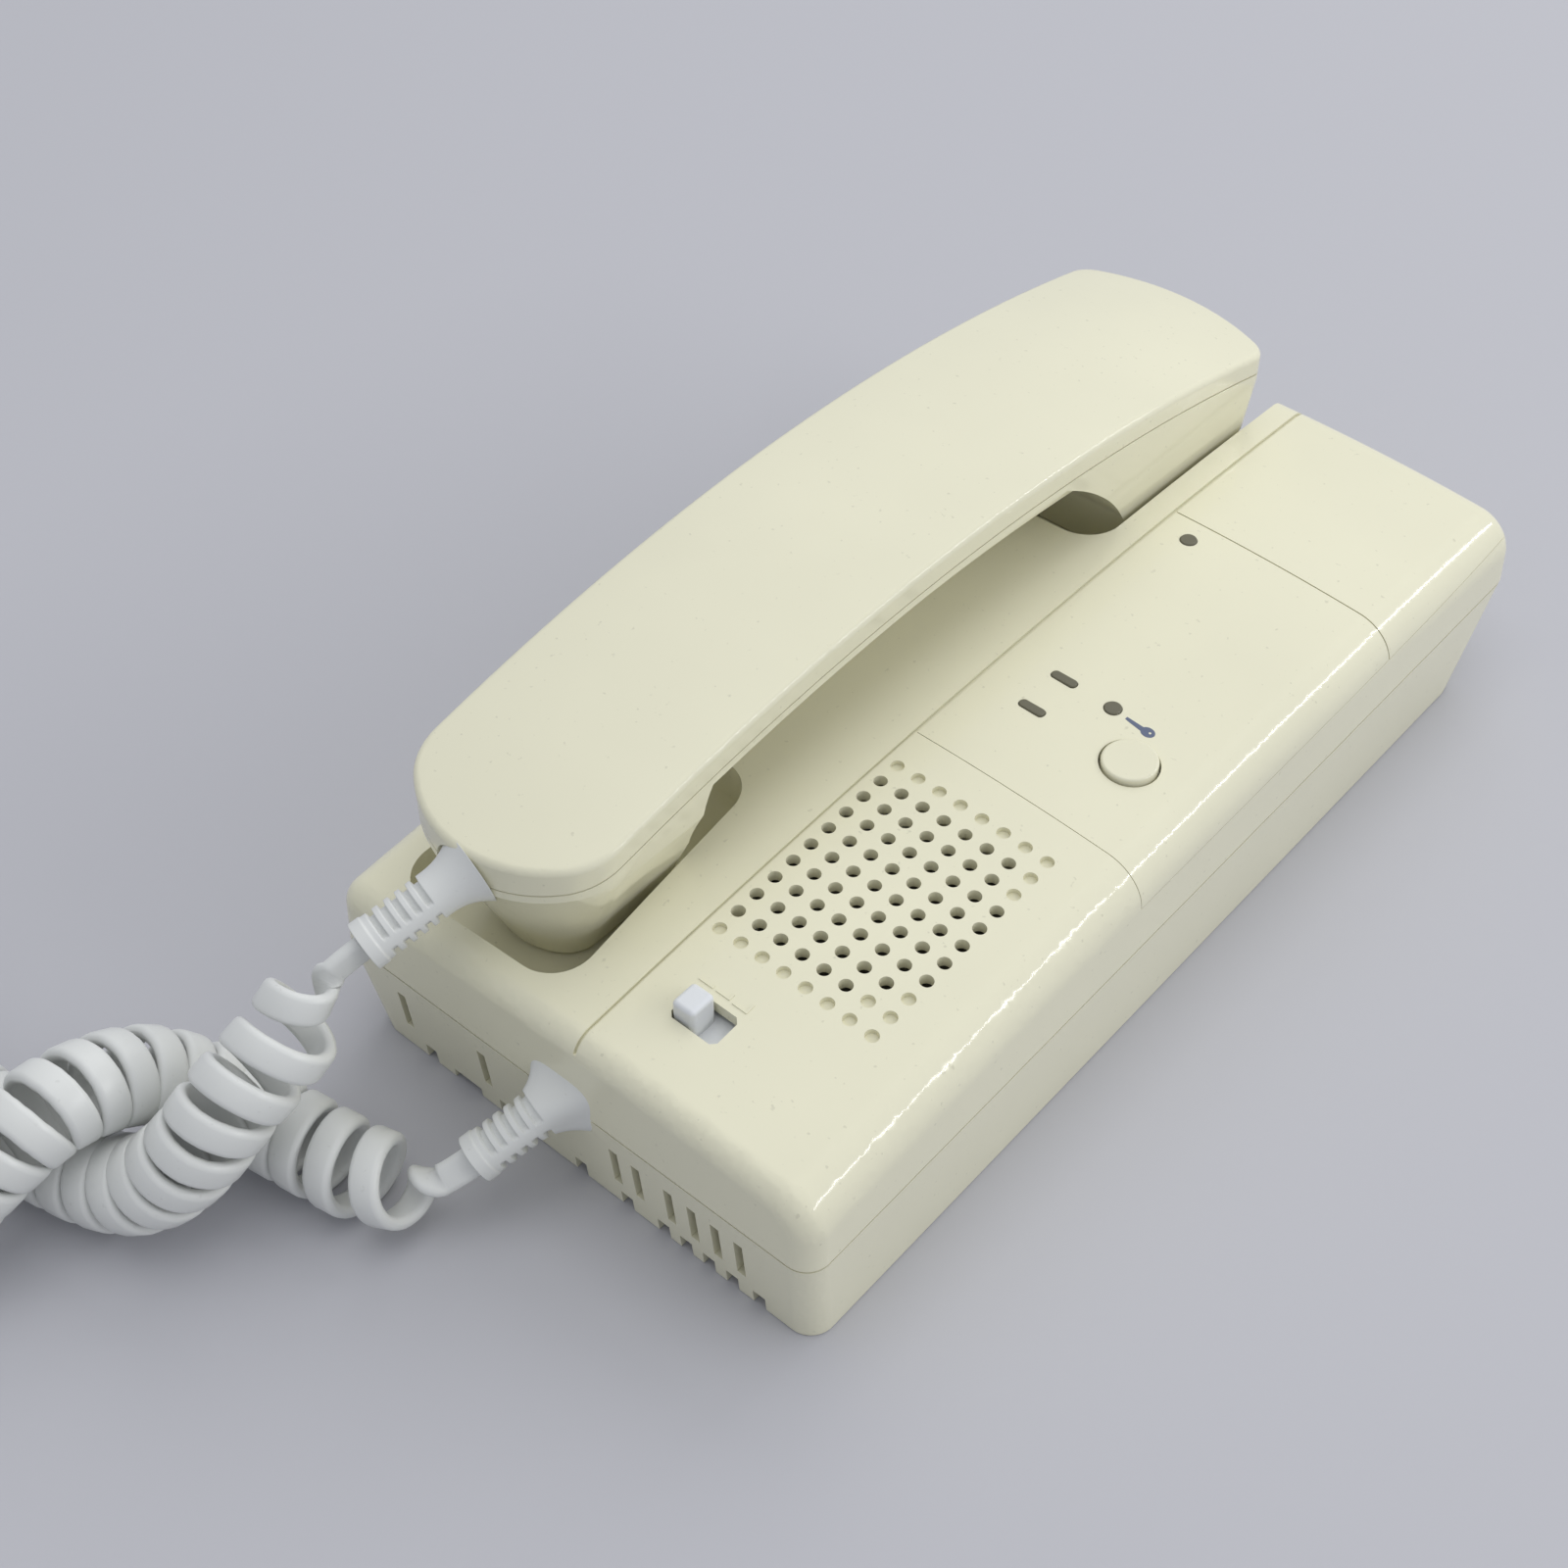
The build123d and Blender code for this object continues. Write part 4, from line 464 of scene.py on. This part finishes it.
def dressed(node, material):
    """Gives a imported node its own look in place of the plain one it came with."""
    frame["nodes"][node].data.materials.clear()
    frame["nodes"][node].data.materials.append(material)


# Front cover: an ivory ABS shell with the lattice, the groove and the handset's two recesses.
# It is injection moulded with a polished face, and screws over the rear case.
ivory = plastic("ivory_abs", (0.80, 0.775, 0.590), roughness=0.12, speckle=0.18, unevenness=0.02)
refined("front_cover", ivory)

# Volume step marks: three raised corners of growing height beside the slide.
# They are moulded with the cover, in its own plastic.
mark_width = 0.00032
above_all = 0.2


def laid_on(node, outlines, low, high, name, material):
    """Closed flat shapes that follow a node's face as it is seen from above, from low to high of it."""
    base = bmesh.new()
    base.from_mesh(frame["nodes"][node].data)
    tree = BVHTree.FromBMesh(base)
    base.free()
    work = bmesh.new()
    for outline in outlines:
        face = work.faces.new([work.verts.new((x, y, 0.0)) for x, y in outline])
        made = bmesh.ops.extrude_face_region(work, geom=[face])["geom"]
        top = [item for item in made if isinstance(item, bmesh.types.BMVert)]
        for vert in list(face.verts) + top:
            hit = tree.ray_cast(Vector((vert.co.x, vert.co.y, above_all)), Vector((0.0, 0.0, -1.0)))[0]
            vert.co.z = hit.z + (high if vert in top else low)
    bmesh.ops.recalc_face_normals(work, faces=work.faces)
    piece = piece_from(work, name, material)
    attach(piece, "station")


mark_outlines = []
for left, right, level, rise in (
    (0.0106, 0.0136, -0.0830, 0.0007),
    (0.0142, 0.0171, -0.0830, 0.0013),
    (0.0178, 0.0208, -0.0832, 0.0020),
):
    mark_outlines.append(
        [
            (left, level),
            (right, level),
            (right, level + rise),
            (right - mark_width, level + rise),
            (right - mark_width, level + mark_width),
            (left, level + mark_width),
        ]
    )
laid_on("front_cover", mark_outlines, low=-0.0002, high=0.00018, name="volume_step_marks", material=ivory)

# Inset panels: the control panel and the blank one above it, moulded in the cover's plastic.
# They sit in the cover's rebate with a fine seam around them.
for node in ("control_panel", "blank_panel"):
    refined(node, ivory)

# Key sign: a plain pictogram above the release button, a shaft and a bow with its hole.
# It is printed on the panel in blue-grey ink.
print_ink = plastic("print_ink", (0.125, 0.150, 0.225), roughness=0.4, speckle=0.0, unevenness=0.03)
ink_depth = 0.00002
bow_centre = (0.0337, 0.0061)
bow_reach = 0.00135
bow_rise = 0.00115
hole_centre = (0.0341, 0.0062)
hole_radius = 0.00024
key_outlines = [[(0.0290, 0.00665), (0.0290, 0.0060), (0.0301, 0.0058), (0.0327, 0.0055), (0.0327, 0.0066)]]
bow_parts = 32
for part in range(bow_parts):
    corners = []
    for centre, reach, rise, turn in (
        (bow_centre, bow_reach, bow_rise, part),
        (bow_centre, bow_reach, bow_rise, part + 1),
        (hole_centre, hole_radius, hole_radius, part + 1),
        (hole_centre, hole_radius, hole_radius, part),
    ):
        angle = 2.0 * math.pi * turn / bow_parts
        corners.append((centre[0] + reach * math.cos(angle), centre[1] + rise * math.sin(angle)))
    key_outlines.append(corners)
laid_on("control_panel", key_outlines, low=-ink_depth, high=ink_depth, name="key_sign", material=print_ink)

# Lamps and station windows: smoky olive acrylic light pipes, each over its emitter.
# They are pushed in from behind and end flush with the panel.
smoke = plastic("smoky_lens", (0.150, 0.142, 0.098), roughness=0.22, speckle=0.0, unevenness=0.03)
for node in ("power_lamp", "call_lamp", "station_window_upper", "station_window_lower"):
    dressed(node, smoke)

# Release button: a round push button of the cover's plastic with a rounded rim.
# It stands on its spring over the switch, and its flange keeps it under the panel.
refined("release_button", ivory)

# Rear case: the same plastic, moulded in one piece with its vents and its notched lower edge.
# It hangs on the wall bracket and carries the main board.
refined("rear_case", ivory)

# Volume knob: a cool white moulded slider with rounded edges.
# Its white plate closes the cover's slot from below, and it rides on the slide control's stem.
knob_white = plastic("knob_white", (0.74, 0.76, 0.78), roughness=0.34, speckle=0.1, unevenness=0.05)
refined("volume_knob", knob_white)

# Handset: two shells of the same plastic, screwed together from below.
# They meet in a fine seam along the sides.
for node in ("handset_outer_shell", "handset_inner_shell"):
    refined(node, ivory)


def metal(name, colour, roughness, scale):
    """A plated or drawn metal: one noise clouds its tint and its gloss."""
    cloud_depth = 0.86
    gloss_range = 0.08
    material = bpy.data.materials.new(name)
    material.use_nodes = True
    nodes = material.node_tree.nodes
    links = material.node_tree.links
    shader = nodes["Principled BSDF"]
    shader.inputs["Metallic"].default_value = 1.0
    place = nodes.new("ShaderNodeTexCoord")
    cloud = noise(nodes, links, place, scale=scale, detail=4.0)
    shade = [channel * cloud_depth for channel in colour]
    links.new(ramp(nodes, links, cloud, (0.35, 0.65), (shade, colour)), shader.inputs["Base Color"])
    gloss = spread(nodes, links, cloud, roughness - gloss_range, roughness + gloss_range)
    links.new(gloss, shader.inputs["Roughness"])
    return material


# Steel pieces: the pressed wall bracket, speaker frame, clamps and core, the screws, the wound springs
# and the handset's weight, all zinc plated.
zinc = metal("zinc_plate", (0.66, 0.67, 0.68), roughness=0.34, scale=180.0)
for node in (
    "wall_bracket",
    "case_screws",
    "board_screws",
    "terminal_screws",
    "control_board_screws",
    "volume_board_screws",
    "speaker_screws",
    "speaker_clamps",
    "speaker_frame",
    "handset_screws",
    "handset_weight",
    "button_spring",
    "hook_spring",
    "transformer_core",
):
    dressed(node, zinc)

# Microphone: an electret capsule in a drawn aluminium can.
# A rubber grommet grips it in the mouth cup, as a rubber ring does the receiver.
dressed("microphone_capsule", metal("aluminium_can", (0.78, 0.78, 0.79), roughness=0.26, scale=300.0))
rubber = plastic("rubber_black", (0.030, 0.030, 0.031), roughness=0.68, speckle=0.0, unevenness=0.05)
for node in ("microphone_grommet", "receiver_gasket"):
    dressed(node, rubber)

# Boards: brown paper-phenolic laminate, punched to shape.
# Each is screwed down to its posts.
laminate = plastic("board_laminate", (0.22, 0.125, 0.048), roughness=0.5, speckle=0.0, unevenness=0.06)
for node in ("main_board", "control_board", "volume_board"):
    dressed(node, laminate)

# Moulded electrical pieces: black nylon and phenolic housings.
# They are soldered to the boards or snapped into the shells.
housing = plastic("housing_black", (0.034, 0.034, 0.035), roughness=0.42, speckle=0.0, unevenness=0.06)
for node in (
    "terminal_block",
    "door_relay",
    "hook_switch",
    "hook_plunger",
    "release_switch",
    "volume_control",
    "lamp_emitters",
    "transformer_coil",
    "receiver_capsule",
):
    dressed(node, housing)

# Speaker: a treated paper cone before a pressed ferrite magnet.
# The cone shows as dark olive behind the lattice.
paper = plastic("paper_cone", (0.050, 0.046, 0.033), roughness=0.85, speckle=0.0, unevenness=0.05)
dressed("speaker_cone", paper)
ferrite = plastic("ferrite", (0.055, 0.054, 0.055), roughness=0.6, speckle=0.0, unevenness=0.05)
dressed("speaker_magnet", ferrite)

# Capacitors: upright aluminium cans in a dark blue shrink sleeve, soldered to the main board.
sleeve = plastic("capacitor_sleeve", (0.020, 0.030, 0.075), roughness=0.35, speckle=0.0, unevenness=0.04)
dressed("filter_capacitors", sleeve)

# Wires inside: grey vinyl leads and the link between the boards.
# The cord's tail runs on from its relief to a white plug on the main board.
lead_grey = plastic("lead_grey", (0.33, 0.34, 0.36), roughness=0.45, speckle=0.0, unevenness=0.05)
for node in ("board_link_cable", "receiver_lead", "microphone_lead"):
    dressed(node, lead_grey)
for node in ("cord_tail", "cord_connector"):
    dressed(node, cord_white)

# Floor: a plain pale surface, a hair below the station's back.
floor_size = 6.0
floor_drop = 0.0002
bpy.ops.mesh.primitive_plane_add(size=floor_size, location=(0.0, 0.0, -floor_drop))
floor = bpy.context.active_object
floor.name = "floor"
floor_paint = bpy.data.materials.new("floor_paint")
floor_paint.use_nodes = True
floor_shader = floor_paint.node_tree.nodes["Principled BSDF"]
floor_shader.inputs["Base Color"].default_value = (0.50, 0.50, 0.53, 1.0)
floor_shader.inputs["Roughness"].default_value = 0.7
floor.data.materials.append(floor_paint)

# Light: three wide soft lamps over a pale sky, and a narrow one that draws the thin lines on the right edges.
case_middle = (0.0, 0.0, 0.02)


def lamp(name, place, target, size, watts, mirrored):
    """A flat lamp that faces its target; the wide ones light the object without showing in its gloss."""
    light = bpy.data.lights.new(name, "AREA")
    light.shape = "RECTANGLE"
    light.size, light.size_y = size
    light.energy = watts
    holder = bpy.data.objects.new(name, light)
    bpy.context.scene.collection.objects.link(holder)
    holder.location = place
    holder.rotation_euler = (Vector(target) - Vector(place)).to_track_quat("-Z", "Y").to_euler()
    holder.visible_glossy = mirrored


lamp("softbox_back", (-0.3, 1.1, 1.2), case_middle, size=(1.4, 1.0), watts=7.2, mirrored=False)
lamp("softbox_side", (1.3, 0.2, 0.9), case_middle, size=(0.8, 1.2), watts=2.2, mirrored=False)
lamp("softbox_top", (0.0, 0.0, 1.6), case_middle, size=(1.2, 1.2), watts=6.2, mirrored=False)
lamp("strip_side", (1.0, 0.72, 0.66), (0.0, 0.0, 0.03), size=(1.5, 0.03), watts=4.5, mirrored=True)
world = bpy.data.worlds.new("studio")
world.use_nodes = True
sky = world.node_tree.nodes["Background"]
sky.inputs["Color"].default_value = (0.90, 0.93, 1.0, 1.0)
sky.inputs["Strength"].default_value = 0.54
bpy.context.scene.world = world
bpy.context.scene.view_settings.view_transform = "Standard"
